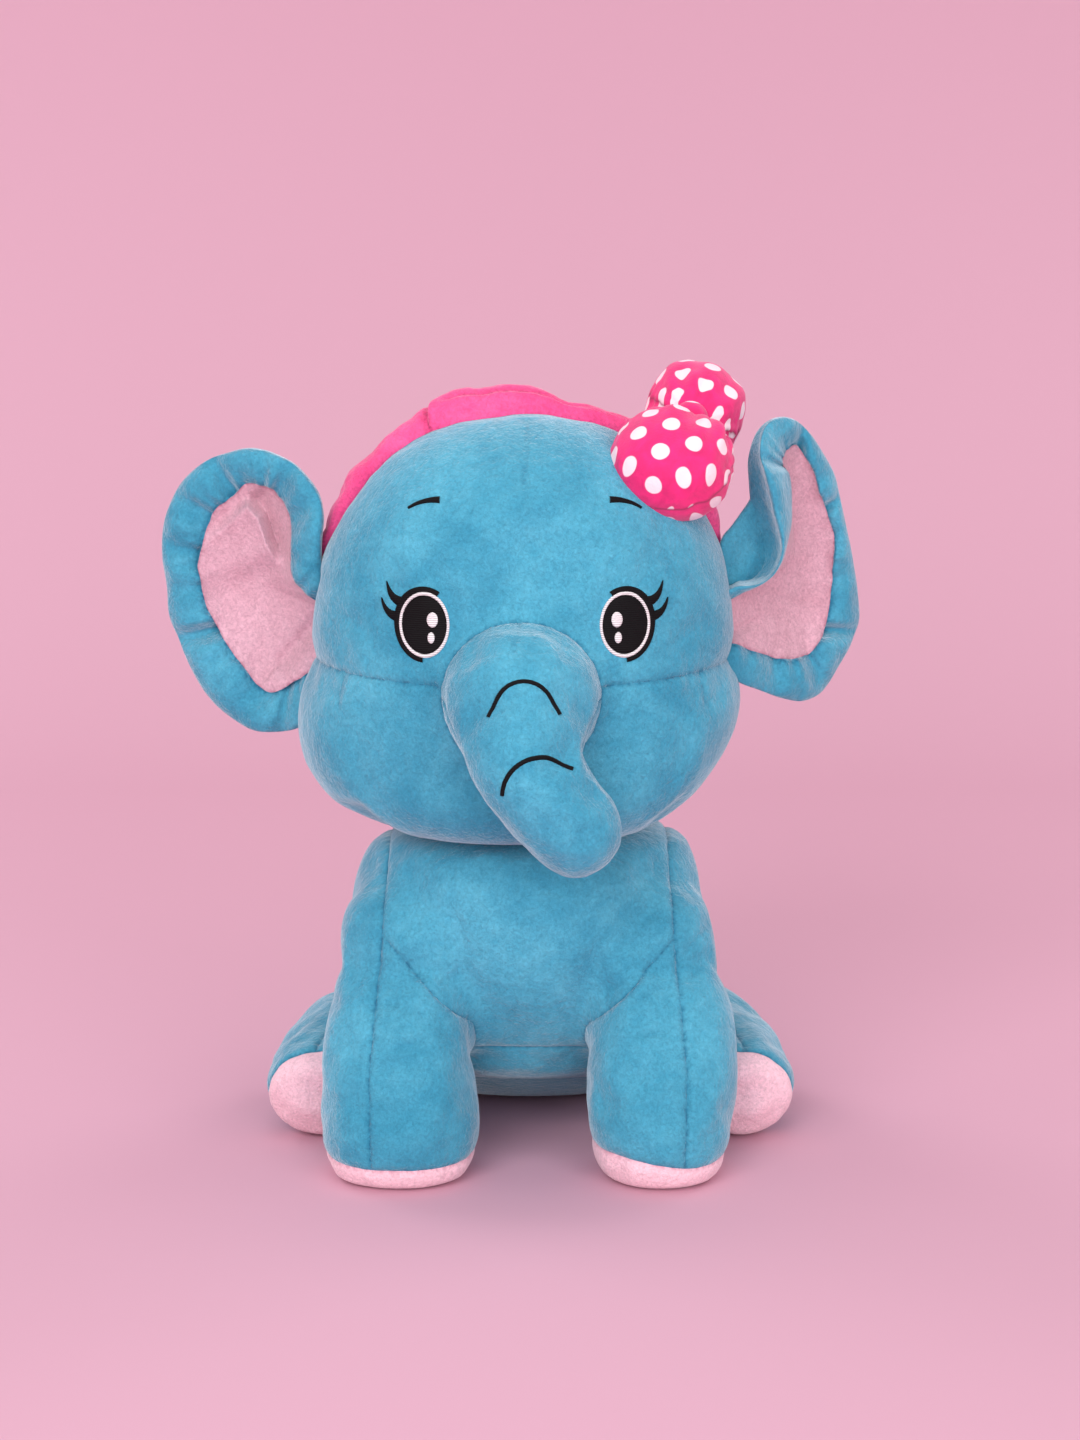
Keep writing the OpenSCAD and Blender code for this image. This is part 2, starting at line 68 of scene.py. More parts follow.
HEAD_X = -4
HEAD_SQUARE = 2.3
BODY_SQUARE = 2.2
CHIN_Z = 166
# Height above the chin, half width, front, back
HEAD_ROWS = [
    [6.5, 1.6, -2, 4], [6, 42, -38, 38], [1.5, 54, -50, 46], [1, 68, -64, 55], [7, 86, -76, 66],
    [20, 101, -84, 75], [38, 110, -85, 81], [56, 112.5, -85.5, 85], [70, 110, -85, 87], [84, 106, -85, 88],
    [106, 104, -83, 89], [130, 101.5, -80, 88], [150, 94, -75, 85], [166, 85, -66, 77], [183, 71, -53, 64],
    [195, 54, -38, 49], [204, 30, -20, 29], [207.5, 11, -6, 12], [208, 1.6, 1, 4],
]
# Height, half width, front, back
TORSO_ROWS = [
    [0, 1.6, 70, 74], [0, 48, 45, 96], [3, 58, 33, 105], [12, 68, 16, 113], [32, 77, -12, 120],
    [54, 79, -42, 120], [74, 81, -57, 114], [94, 87, -64, 104], [113, 91, -66, 92], [133, 88, -65, 77],
    [146, 84, -62, 67], [155, 79, -58, 60], [162, 70, -52, 54], [167, 54, -42, 42], [172, 34, -26, 26],
    [174, 1.6, -1, 2],
]
# Height, sideways from the foot's middle, middle y, share of the foot's radius, half depth
LEG_ROWS = [
    [0, 0, -70, 0.05, 2], [0, 0, -70, 0.7, 25], [1.5, 0, -70, 0.84, 30], [6, 0, -70, 0.94, 33.5],
    [13, 0, -70, 1, 35.5], [30, 0, -69, 1.01, 35.5], [50, 0.5, -64, 0.97, 34], [70, 1, -56, 0.93, 32.5],
    [90, -0.5, -44, 0.88, 31.5], [103, -2, -35, 0.85, 31],
]
FOOT_X, FOOT_R = 65, 38
SHOULDER = np.array([62, -30, 112.0])
SHOULDER_R = 33
# Middle x, y, z, half width, half height
TRUNK_ROWS = [
    [0, -48, 272, 3, 3], [0, -55, 267, 12, 11], [0, -60, 263, 23, 21], [0, -69, 256.5, 33, 30],
    [0, -79, 248.5, 37.5, 34], [0, -91, 239.5, 37, 31.5], [1, -104.5, 228.5, 31, 25],
    [3.5, -112.5, 216.5, 27, 21.5], [10, -114, 205, 25, 22], [19, -114, 193.5, 24, 22],
    [28.5, -113, 183, 23, 21.5], [36, -112, 174.5, 18.5, 18], [40.5, -111.5, 169, 10.5, 10.5],
    [42.5, -111.5, 166, 1.6, 1.6],
]
# Sideways, y, height, half width, half height
HIND_ROWS = [
    [112, -26, 27, 1.6, 1.6], [112, -25, 27, 15, 14], [111.5, -22, 27.5, 23, 22.5],
    [110, -12, 28.5, 28, 28], [106, 10, 31, 30, 31], [99, 35, 34.5, 32, 34.5], [92, 60, 36, 30, 36],
    [87, 80, 36, 22, 30], [84, 92, 36, 10, 13], [83.5, 94, 36, 1.6, 1.6],
]
TAIL_ROWS = [
    [0, 121, 59, 1.6, 1.6], [0, 124, 57, 6.5, 6], [0, 128.5, 54, 8, 7.5], [0, 134, 46, 9, 8],
    [0, 138, 36, 8.5, 7.5], [0, 140, 26, 8, 7], [0, 140.5, 17, 8, 7], [0, 140.5, 12, 5, 5],
    [0, 140.5, 10, 1.6, 1.6],
]
CHEEK_Z = 249
EAR_Y = 14
# Share of their height that the hind legs keep, and how much narrower the left front foot is than the right
HIND_SQUASH = 0.87
FOOT_SLIMMER = 0.13
# Height of the seat's front edge between the front legs
SEAT_RISE = 15


# ---------------------------------------------------------------- shapes as arrays

def unit(v):
    return v / np.maximum(np.linalg.norm(v, axis=-1, keepdims=True), 1e-9)


def smooth_step(x):
    x = np.clip(x, 0, 1)
    return x * x * (3 - 2 * x)


def spline(rows, at):
    """Rows of numbers read at fractional row numbers, on a smooth curve through them."""
    p = np.array(rows, float)
    gap = np.maximum(np.linalg.norm(np.diff(p, axis=0), axis=1), 1e-6)
    t = np.concatenate([[0], np.cumsum(gap)])
    slope = np.empty_like(p)
    slope[1:-1] = (p[2:] - p[:-2]) / (t[2:] - t[:-2])[:, None]
    slope[0], slope[-1] = (p[1] - p[0]) / gap[0], (p[-1] - p[-2]) / gap[-1]
    at = np.asarray(at, float)
    i = np.clip(at.astype(int), 0, len(p) - 2)
    f = (at - i)[:, None]
    h = gap[i][:, None]
    return (
        (2 * f**3 - 3 * f**2 + 1) * p[i] + (f**3 - 2 * f**2 + f) * h * slope[i]
        + (3 * f**2 - 2 * f**3) * p[i + 1] + (f**3 - f**2) * h * slope[i + 1]
    )


def round_section(count, squareness=2.0):
    a = np.arange(count) * 2 * math.pi / count
    c, s = np.cos(a), np.sin(a)
    e = 2 / squareness
    return np.sign(c) * np.abs(c) ** e, np.sign(s) * np.abs(s) ** e


def grid_faces(rings, count):
    i, j = np.meshgrid(np.arange(rings - 1), np.arange(count), indexing="ij")
    k = (j + 1) % count
    quads = np.stack([i * count + j, i * count + k, (i + 1) * count + k, (i + 1) * count + j], -1)
    faces = quads.reshape(-1, 4).tolist()
    return faces + [list(range(count))[::-1], [(rings - 1) * count + n for n in range(count)]]


def upright(rows, squareness, middle_x=0.0, rings=90, count=96):
    """A closed form whose sections lie flat: rows of height, half width, front and back."""
    r = spline(rows, np.linspace(0, len(rows) - 1, rings))
    c, s = round_section(count, squareness)
    x = middle_x + r[:, 1:2] * c
    y = (r[:, 2:3] + r[:, 3:4]) / 2 + (r[:, 3:4] - r[:, 2:3]) / 2 * s
    z = np.repeat(r[:, 0:1], count, 1)
    return np.stack([x, y, z], -1).reshape(-1, 3), grid_faces(rings, count)


def limb_axes(r):
    d = unit(np.gradient(r[:, :3], axis=0))
    side = unit(np.array([1.0, 0, 0]) - d[:, 0:1] * d)
    return side, np.cross(side, d)


def limb(rows, rings=70, count=56, squareness=2.0):
    """A closed form round a bent centre line: rows of x, y, z, half width and half height."""
    r = spline(rows, np.linspace(0, len(rows) - 1, rings))
    side, up = limb_axes(r)
    c, s = round_section(count, squareness)
    wide, high = (r[:, 3:4] * c)[..., None], (r[:, 4:5] * s)[..., None]
    p = r[:, None, :3] + side[:, None] * wide + up[:, None] * high
    return p.reshape(-1, 3), grid_faces(rings, count)


def front_leg(side, rings=60, count=64):
    rows = [[z, FOOT_X + dx, y, share * FOOT_R, depth] for z, dx, y, share, depth in LEG_ROWS]
    for latitude in (8, 24, 40, 56, 72, 84, 88):
        a = math.radians(latitude)
        rows.append([
            SHOULDER[2] + SHOULDER_R * math.sin(a), SHOULDER[0], SHOULDER[1],
            SHOULDER_R * math.cos(a), SHOULDER_R * math.cos(a),
        ])
    r = spline(rows, np.linspace(0, len(rows) - 1, rings))
    c, s = round_section(count, BODY_SQUARE)
    x = side * (r[:, 1:2] + r[:, 3:4] * c)
    y = r[:, 2:3] + r[:, 4:5] * s
    z = np.repeat(r[:, 0:1], count, 1)
    faces = grid_faces(rings, count)
    if side < 0:
        faces = [f[::-1] for f in faces]
    return np.stack([x, y, z], -1).reshape(-1, 3), faces


def mirrored(rows, side):
    return [[side * r[0], *r[1:]] for r in rows]


# ---------------------------------------------------------------- meshes

def new_object(name, points, faces):
    mesh = bpy.data.meshes.new(name)
    mesh.from_pydata((np.asarray(points) + SHIFT) * MM, [], faces)
    mesh.validate()
    mesh.shade_smooth()
    obj = bpy.data.objects.new(name, mesh)
    scene.collection.objects.link(obj)
    return obj


def drop(obj):
    mesh = obj.data
    bpy.data.objects.remove(obj)
    bpy.data.meshes.remove(mesh)


def read(mesh):
    p = np.empty(len(mesh.vertices) * 3, np.float32)
    mesh.vertices.foreach_get("co", p)
    return p.reshape(-1, 3).astype(float) / MM - SHIFT


def evaluated(obj):
    graph = bpy.context.evaluated_depsgraph_get()
    return bpy.data.meshes.new_from_object(obj.evaluated_get(graph))


def with_modifier(obj, kind, **settings):
    m = obj.modifiers.new(kind.lower(), kind)
    for key, value in settings.items():
        setattr(m, key, value)
    mesh = evaluated(obj)
    obj.modifiers.clear()
    old, obj.data = obj.data, mesh
    bpy.data.meshes.remove(old)
    return obj


def joined(parts):
    points, faces, start = [], [], 0
    for p, f in parts:
        points.append(p)
        faces += [[i + start for i in face] for face in f]
        start += len(p)
    return np.concatenate(points), faces


def tree_of(points, faces):
    return BVHTree.FromPolygons([tuple(p) for p in points], faces)


def distances(tree, points):
    """How far outside the closed form each point is; inside is negative."""
    out = np.empty(len(points))
    for i, p in enumerate(points):
        at, normal, _, d = tree.find_nearest(Vector(p))
        out[i] = math.copysign(d, (Vector(p) - at).dot(normal))
    return out


def edges_of(mesh):
    e = np.empty(len(mesh.edges) * 2, np.int32)
    mesh.edges.foreach_get("vertices", e)
    return e.reshape(-1, 2)


def averaged(values, edges, rounds, amount=0.5):
    """Each value moves towards its neighbours' mean; amount may differ from point to point."""
    n = len(values)
    a, b = np.concatenate([edges[:, 0], edges[:, 1]]), np.concatenate([edges[:, 1], edges[:, 0]])
    degree = np.maximum(np.bincount(a, minlength=n), 1)
    v = np.array(values, float)
    flat = v.ndim == 1
    if flat:
        v = v[:, None]
    amount = np.broadcast_to(np.asarray(amount, float), (n,))[:, None]
    for _ in range(rounds):
        mean = np.stack([np.bincount(a, v[b, k], n) / degree for k in range(v.shape[1])], 1)
        v = v + amount * (mean - v)
    return v[:, 0] if flat else v


def write_points(obj, points):
    obj.data.vertices.foreach_set("co", ((points + SHIFT) * MM).astype(np.float32).ravel())
    obj.data.update()


def union(name, parts, voxel, fillet, reach):
    """One skin over several closed forms, rounded where they meet."""
    obj = new_object(name, *joined(parts))
    with_modifier(obj, "REMESH", mode="VOXEL", voxel_size=voxel * MM, use_smooth_shade=True)
    points, edges = read(obj.data), edges_of(obj.data)
    trees = [tree_of(*p) for p in parts]
    gaps = np.stack([np.abs(distances(t, points)) for t in trees], 1)
    second = np.sort(gaps, 1)[:, 1]
    near = smooth_step(1 - second / reach)
    near = averaged(near, edges, 6)
    points = averaged(points, edges, 2, 0.4)
    points = averaged(points, edges, fillet, 0.55 * near)
    write_points(obj, points)
    return obj, trees


def puffed(obj, held, pressure=4.0, frames=20, most=5.0, roomy=0.04, soften=2):
    """Fills the skin by cloth simulation with its seams held; no point moves further than `most`."""
    rest = read(obj.data)
    group = obj.vertex_groups.new(name="held")
    for i, w in enumerate(held):
        if w > 0.02:
            group.add([i], float(w), "REPLACE")
    m = obj.modifiers.new("cloth", "CLOTH")
    s = m.settings
    s.quality = 5
    s.mass = 0.2
    s.tension_stiffness = s.compression_stiffness = 12
    s.shear_stiffness = 4
    s.bending_stiffness = 0.6
    s.air_damping = 3
    s.use_pressure = True
    s.uniform_pressure_force = pressure
    s.shrink_min = -roomy
    s.vertex_group_mass = "held"
    s.pin_stiffness = 1
    s.effector_weights.gravity = 0
    m.collision_settings.use_collision = False
    m.collision_settings.use_self_collision = False
    m.point_cache.frame_start, m.point_cache.frame_end = 1, frames
    for f in range(1, frames + 1):
        scene.frame_set(f)
    mesh = evaluated(obj)
    after = read(mesh)
    bpy.data.meshes.remove(mesh)
    obj.modifiers.clear()
    obj.vertex_groups.clear()
    scene.frame_set(1)
    move = averaged(after - rest, edges_of(obj.data), soften, 0.4)
    length = np.linalg.norm(move, axis=1, keepdims=True)
    return rest + move * np.minimum(1, most / np.maximum(length, 1e-6))


def above_floor(points):
    points[:, 2] = np.maximum(points[:, 2], 0)
    return points


def near_seam(f, reach=2.5):
    """1 on a seam line, falling to 0 over a few millimetres."""
    return smooth_step(1.6 - np.abs(f) / reach)


def held_seams(fields, places):
    """How firmly each point is held: 1 on the seams given as (field, where it counts)."""
    held = np.zeros(len(fields))
    for k, where in places:
        held = np.maximum(held, np.where(where, near_seam(fields[:, k]), 0))
    return held


def triangles(mesh):
    mesh.calc_loop_triangles()
    t = np.empty(len(mesh.loop_triangles) * 3, np.int32)
    mesh.loop_triangles.foreach_get("vertices", t)
    return t.reshape(-1, 3)


def point_normals(points, tris):
    n = np.cross(points[tris[:, 1]] - points[tris[:, 0]], points[tris[:, 2]] - points[tris[:, 0]])
    out = np.zeros_like(points)
    for k in range(3):
        for c in range(3):
            out[:, c] += np.bincount(tris[:, k], n[:, c], len(points))
    return unit(out)


def cut_along(points, tris, fields, k):
    """Splits triangles where field k changes sign, so that the line of zeros runs along edges."""
    def edge_table(t):
        e = np.sort(np.concatenate([t[:, [0, 1]], t[:, [1, 2]], t[:, [2, 0]]]), 1).astype(np.int64)
        n = e.max() + 1
        key, inverse = np.unique(e[:, 0] * n + e[:, 1], return_inverse=True)
        return np.stack([key // n, key % n], 1), inverse.reshape(3, -1).T

    edges, _ = edge_table(tris)
    points, fields = points.copy(), fields.copy()
    for end in (0, 1):
        fa, fb = fields[edges[:, 0], k], fields[edges[:, 1], k]
        t = fa / np.where(fa == fb, 1, fa - fb)
        near = (fa * fb < 0) & ((t < 0.2) if end == 0 else (t > 0.8))
        a, b, t = edges[near, 0], edges[near, 1], t[near][:, None]
        v = edges[near, end]
        new_p, new_f = points[a] + (points[b] - points[a]) * t, fields[a] + (fields[b] - fields[a]) * t
        points[v], fields[v] = new_p, new_f
        fields[v, k] = 0
    edges, of_tri = edge_table(tris)
    fa, fb = fields[edges[:, 0], k], fields[edges[:, 1], k]
    crossing = fa * fb < 0
    t = (fa / np.where(fa == fb, 1, fa - fb))[crossing][:, None]
    a, b = edges[crossing, 0], edges[crossing, 1]
    middle = np.full(len(edges), -1)
    middle[crossing] = len(points) + np.arange(crossing.sum())
    extra = fields[a] + (fields[b] - fields[a]) * t
    extra[:, k] = 0
    points = np.concatenate([points, points[a] + (points[b] - points[a]) * t])
    fields = np.concatenate([fields, extra])
    m = middle[of_tri]
    count = (m >= 0).sum(1)
    out = [tris[count == 0]]
    for i in range(3):
        j, l = (i + 1) % 3, (i + 2) % 3
        one = (count == 1) & (m[:, i] >= 0)
        v, w = tris[one], m[one, i]
        out += [np.stack([v[:, i], w, v[:, l]], 1), np.stack([w, v[:, j], v[:, l]], 1)]
        two = (count == 2) & (m[:, i] < 0)
        v, p, q = tris[two], m[two, j], m[two, l]
        out += [
            np.stack([p, v[:, l], q], 1), np.stack([v[:, i], v[:, j], p], 1),
            np.stack([v[:, i], p, q], 1),
        ]
    return points, np.concatenate(out), fields


def cut_skin(obj, fields_of):
    """Smooths a filled skin once and cuts it along all its seam lines."""
    with_modifier(obj, "SUBSURF", levels=1)
    points, tris = read(obj.data), triangles(obj.data)
    fields = fields_of(points, edges_of(obj.data))
    for k in range(fields.shape[1]):
        points, tris, fields = cut_along(points, tris, fields, k)
    return points, tris, fields, fields[tris].sum(1)


def seam_points(tris, label, count):
    """Points shared by triangles with different labels."""
    low, high = np.full(count, 10**6), np.full(count, -1)
    for k in range(3):
        np.minimum.at(low, tris[:, k], label)
        np.maximum.at(high, tris[:, k], label)
    return (high >= 0) & (low != high)


def nearest(points, to):
    """Distance from each point to the nearest of some others."""
    if not len(to):
        return np.full(len(points), 1e3)
    tree = KDTree(len(to))
    for i, p in enumerate(to):
        tree.insert(Vector(p), i)
    tree.balance()
    return np.array([tree.find(Vector(p))[2] for p in points])


def wavy(points, size, seed=0.0):
    """Smooth noise from -1 to 1 at each point; size is the width of its waves."""
    return np.array([noise.noise(Vector(p) / size + Vector((seed, 7.3 * seed, -seed))) for p in points])


def piece(name, points, tris, normals, seam, keep, hard):
    """One cut panel as its own object, with the whole skin's normals away from real seams."""
    t = tris[keep]
    used = np.unique(t)
    index = np.full(len(points), -1)
    index[used] = np.arange(len(used))
    obj = new_object(name, points[used], index[t].tolist())
    own = point_normals(points[used], index[t])
    n = np.where(hard[used][:, None], own, normals[used])
    obj.data.normals_split_custom_set_from_vertices([tuple(v) for v in unit(n)])
    mark(obj, seam[used])
    return obj


def mark(obj, seam):
    # The seam attribute holds how dark the cloth is painted: the seam lines themselves, and painted shade
    # where the cloth sinks in along seams, darts, creases, pleats and folds.
    layer = obj.data.attributes.new("seam", "FLOAT", "POINT")
    layer.data.foreach_set("value", np.asarray(seam, np.float32))


# ---------------------------------------------------------------- cloths

def shader(name):
    mat = bpy.data.materials.new(name)
    mat.use_nodes = True
    tree = mat.node_tree
    tree.nodes.clear()
    out = tree.nodes.new("ShaderNodeOutputMaterial")
    bsdf = tree.nodes.new("ShaderNodeBsdfPrincipled")
    tree.links.new(bsdf.outputs[0], out.inputs[0])
    return mat, tree, bsdf


def node(tree, kind, **inputs):
    n = tree.nodes.new("ShaderNode" + kind)
    for key, value in inputs.items():
        if hasattr(n, key) and key not in n.inputs:
            setattr(n, key, value)
        else:
            socket = n.inputs[int(key[1:])] if key[0] == "i" and key[1:].isdigit() else n.inputs[key]
            if hasattr(value, "links"):
                tree.links.new(value, socket)
            else:
                socket.default_value = value
    return n


def constants(bsdf, **values):
    """Sets plain values on the shader; underscores in a name stand for spaces."""
    for name, value in values.items():
        socket = bsdf.inputs[name.replace("_", " ")]
        socket.default_value = (*value, 1) if isinstance(value, tuple) else value


def noise_of(tree, where, scale, detail=3.0, distortion=0.0, roughness=0.5):
    return node(
        tree, "TexNoise", Vector=where, Scale=scale, Detail=detail, Roughness=roughness,
        Distortion=distortion,
    ).outputs[0]


def ranged(tree, value, lo, hi, to_lo=0.0, to_hi=1.0):
    return node(tree, "MapRange", i0=value, i1=lo, i2=hi, i3=to_lo, i4=to_hi).outputs[0]


def maths(tree, operation, a, b=0.0):
    return node(tree, "Math", operation=operation, i0=a, i1=b).outputs[0]


def mixed(tree, amount, a, b, kind="MIX"):
    n = tree.nodes.new("ShaderNodeMix")
    n.data_type, n.blend_type = "RGBA", kind
    for socket, value in ((n.inputs[0], amount), (n.inputs[6], a), (n.inputs[7], b)):
        if hasattr(value, "links"):
            tree.links.new(value, socket)
        else:
            socket.default_value = value if isinstance(value, float) else (*value, 1.0)
    return n.outputs[2]


def plush(name, dark, base, light, seam_and_shade, sheen, tint):
    """Short brushed pile: broad brushed patches, small clumps, fine fibres, and seams darkened as seam
    lines with painted shade in their grooves, creases and pleats.
    """
    mat, tree, bsdf = shader(name)
    where = node(tree, "TexCoord").outputs["Object"]
    patch = ranged(tree, noise_of(tree, where, 16, 4, 0.9, 0.6), 0.32, 0.66)
    clump = ranged(tree, noise_of(tree, where, 150, 4, 0.5, 0.65), 0.28, 0.72)
    fibre = noise_of(tree, where, 620, 3, 0.6, 0.75)
    color = mixed(tree, patch, dark, base)
    bright = maths(tree, "MULTIPLY", clump, patch)
    color = mixed(tree, maths(tree, "MULTIPLY", bright, 0.8), color, light)
    speck = ranged(tree, fibre, 0.3, 0.7, 0.80, 1.20)
    color = node(tree, "HueSaturation", Value=speck, Color=color).outputs[0]
    # Darkens towards the seam colour by the seam attribute: the seam lines, plus painted shade along
    # grooves, creases and pleats.
    seam = node(tree, "Attribute", attribute_name="seam").outputs["Fac"]
    holes = ranged(tree, noise_of(tree, where, 420, 1), 0.42, 0.62, 0.35, 1.0)
    color = mixed(tree, maths(tree, "MULTIPLY", seam, holes), color, seam_and_shade)
    tree.links.new(color, bsdf.inputs["Base Color"])
    rough = node(
        tree, "Bump", Strength=0.7, Distance=0.0009,
        Height=maths(tree, "ADD", maths(tree, "MULTIPLY", clump, 0.9), fibre),
    )
    tree.links.new(rough.outputs[0], bsdf.inputs["Normal"])
    constants(bsdf, Roughness=0.9, Specular_IOR_Level=0.18, Sheen_Weight=sheen, Sheen_Roughness=0.35,
              Sheen_Tint=tint)
    return mat


def thread(name, color, roughness, shine):
    """Satin stitches: fine side-by-side threads with a soft shine."""
    mat, tree, bsdf = shader(name)
    where = node(tree, "TexCoord").outputs["Object"]
    wave = node(tree, "TexWave", Vector=where, Scale=1900 / 6.28, Distortion=1.5, bands_direction="Z")
    wave.inputs["Detail Scale"].default_value = 2
    lines = wave.outputs["Fac"]
    tree.links.new(mixed(tree, lines, [c * 0.55 for c in color], color), bsdf.inputs["Base Color"])
    bump = node(tree, "Bump", Strength=0.6, Distance=0.0003, Height=lines)
    tree.links.new(bump.outputs[0], bsdf.inputs["Normal"])
    constants(bsdf, Roughness=roughness, Specular_IOR_Level=shine)
    return mat


def dotted(name, ground, dot):
    """Short smooth pile printed with staggered round dots, laid out in the cloth's own millimetres."""
    mat, tree, bsdf = shader(name)
    across, along, radius = 17.5, 29.0, 4.4
    uv = node(tree, "UVMap", uv_map="cloth").outputs[0]
    where = node(tree, "TexCoord").outputs["Object"]
    wobble = node(tree, "TexNoise", Vector=where, Scale=90.0, Detail=1.0).outputs[1]
    off = node(tree, "VectorMath", operation="SUBTRACT", i0=wobble, i1=(0.5, 0.5, 0.5)).outputs[0]
    off = node(tree, "VectorMath", operation="SCALE", i0=off, Scale=1.2).outputs[0]
    uv = node(tree, "VectorMath", operation="ADD", i0=uv, i1=off).outputs[0]
    nearest_dot = None
    for shift in ((0, 0, 0), (across / 2, along / 2, 0)):
        p = node(tree, "VectorMath", operation="ADD", i0=uv, i1=shift).outputs[0]
        p = node(tree, "VectorMath", operation="WRAP", i0=p, i1=(across / 2, along / 2, 1e3),
                 i2=(-across / 2, -along / 2, -1e3)).outputs[0]
        p = node(tree, "VectorMath", operation="MULTIPLY", i0=p, i1=(1, 1, 0)).outputs[0]
        d = node(tree, "VectorMath", operation="LENGTH", i0=p).outputs["Value"]
        nearest_dot = d if nearest_dot is None else maths(tree, "MINIMUM", nearest_dot, d)
    is_dot = ranged(tree, nearest_dot, radius + 0.25, radius - 0.25)
    clump = noise_of(tree, where, 160, 3, 0.5)
    fibre = noise_of(tree, where, 900, 2)
    shade = ranged(tree, clump, 0.3, 0.7, 0.82, 1.12)
    ground_color = node(tree, "HueSaturation", Value=shade, Color=(*ground, 1)).outputs[0]
    color = mixed(tree, is_dot, ground_color, dot)
    # The seam attribute darkens the cloth at its edge seams: the seam line and painted shade in it.
    seam = node(tree, "Attribute", attribute_name="seam").outputs["Fac"]
    color = mixed(tree, seam, color, [c * 0.35 for c in ground])
    tree.links.new(color, bsdf.inputs["Base Color"])
    bump = node(tree, "Bump", Strength=0.4, Distance=0.0005, Height=maths(tree, "ADD", clump, fibre))
    tree.links.new(bump.outputs[0], bsdf.inputs["Normal"])
    constants(bsdf, Roughness=0.75, Specular_IOR_Level=0.3, Sheen_Weight=0.35, Sheen_Tint=(1, 0.6, 0.75))
    return mat


# The fourth colour of each plush is taken by its seam lines and also serves as painted shade in grooves,
# creases and pleats.
BLUE = plush(
    "blue_plush", (0.034, 0.235, 0.36), (0.058, 0.31, 0.445), (0.105, 0.405, 0.545),
    (0.004, 0.085, 0.17), sheen=0.95, tint=(0.86, 0.95, 1),
)
PALE = plush(
    "pale_pink_plush", (0.82, 0.50, 0.57), (0.88, 0.57, 0.65), (0.92, 0.63, 0.71),
    (0.50, 0.19, 0.27), sheen=0.5, tint=(1, 0.9, 0.93),
)
# The ear linings are the same pale pink plush as the soles, in a darker copy: painted shade, since less
# light falls on the ears than on the soles.
PALE_IN_SHADE = plush(
    "pale_pink_plush_in_shade", (0.56, 0.31, 0.375), (0.62, 0.365, 0.44), (0.67, 0.42, 0.495),
    (0.36, 0.13, 0.19), sheen=0.4, tint=(1, 0.9, 0.93),
)
HOT = plush(
    "hot_pink_plush", (0.74, 0.050, 0.20), (0.85, 0.085, 0.265), (0.92, 0.14, 0.35),
    (0.30, 0.012, 0.075), sheen=0.55, tint=(1, 0.62, 0.76),
)
DOTTED = dotted("dotted_satin", (0.74, 0.016, 0.165), (0.86, 0.68, 0.73))
BLACK = thread("black_thread", (0.005, 0.004, 0.005), 0.6, 0.12)
WHITE = thread("white_thread", (0.86, 0.80, 0.82), 0.5, 0.3)


CLOTHS = {
    # The lining cloth is the darker copy of the pale pink plush: painted shade.
    "blue": (BLUE, "blue_plush"), "pale": (PALE, "pale_pink_plush"), "lining": (PALE_IN_SHADE, "pale_pink_plush"),
    "hot": (HOT, "hot_pink_plush"), "dotted": (DOTTED, "dotted_satin"), "black": (BLACK, "black_thread"),
    "white": (WHITE, "white_thread"),
}


def finish_piece(obj, cloth, bodies, nodes, bend=None):
    """Dresses a piece in its cloth's material and hides the parts of the frame it stands for; without a
    bend it is parented to its body's empty.

    The points of bend are not used: with a bend given, the piece is only baked in place where it is.
    """
    material, slot = CLOTHS[cloth]
    obj.data.materials.clear()
    obj.data.materials.append(material)
    if bend:
        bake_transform(obj)
    else:
        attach(obj, bodies)
    if nodes:
        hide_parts(*nodes)


def grooved(points, tris, real, depth=1.3, width=1.7, dark=0.7):
    """Draws the cloth in along its seams; returns the moved points and how near a seam each one is, as a
    darkness: the seam line itself and painted shade where the cloth sinks in.
    """
    normals = point_normals(points, tris)
    d = nearest(points, points[real])
    uneven = 1 + 0.35 * wavy(points, 6, 2.1)
    points = points - normals * (depth * uneven * np.exp(-d / width))[:, None]
    return points, dark * np.exp(-((d / 0.9) ** 1.5))


def lines_drawn(points, tris, lines, depth, width, dark=0.6):
    """Draws the cloth in along lines of points that aren't cuts: darts, pleats and creases; also returns a
    darkness along them: painted shade, and the sewn line where a dart is stitched.
    """
    normals = point_normals(points, tris)
    d = nearest(points, np.concatenate(lines))
    return points - normals * (depth * np.exp(-d / width))[:, None], dark * np.exp(-((d / 1.2) ** 1.5))


def front_line(tree, start, end, steps=24):
    """Points on the front of a form, between two places given as sideways and height."""
    out = []
    for t in np.linspace(0, 1, steps):
        x, z = (a + (b - a) * t for a, b in zip(start, end))
        hit = tree.ray_cast(Vector((x, -300, z)), Vector((0, 1, 0)))[0]
        if hit is not None:
            out.append(np.array(hit))
    return np.array(out)


# ---------------------------------------------------------------- body and front legs

def body_fields(points, edges):
    """Distances from the seam lines of the body: legs (left, right), side seams, seat seam, soles."""
    x, y, z = points.T
    torso_gap = np.abs(distances(body_trees[0], points))
    out = []
    for side, tree in zip((1, -1), body_trees[1:]):
        own = np.abs(distances(tree, points))
        below = np.minimum(118 - z, (side * x + 46 - z) / 1.41)
        f = np.minimum(below, torso_gap - own)
        out.append(np.where(side * x > 8, f, -20))
    seam_x = np.interp(z, [0, 12, 60, 118, 165], [78, 78, 79, 74, 72])
    seam_x = seam_x + np.where(x > 0, -1.5, 0.5)
    out.append(np.abs(x) - seam_x)
    out.append(z - (57 - (y + 45) * 0.16))
    out.append(z - 13 - (y + 70) * 0.03 - np.where(x > 0, 6 * smooth_step((88 - x) / 50), 0))
    f = np.stack(out, 1)
    f[:, :2] = averaged(f[:, :2], edges, 4)
    return f


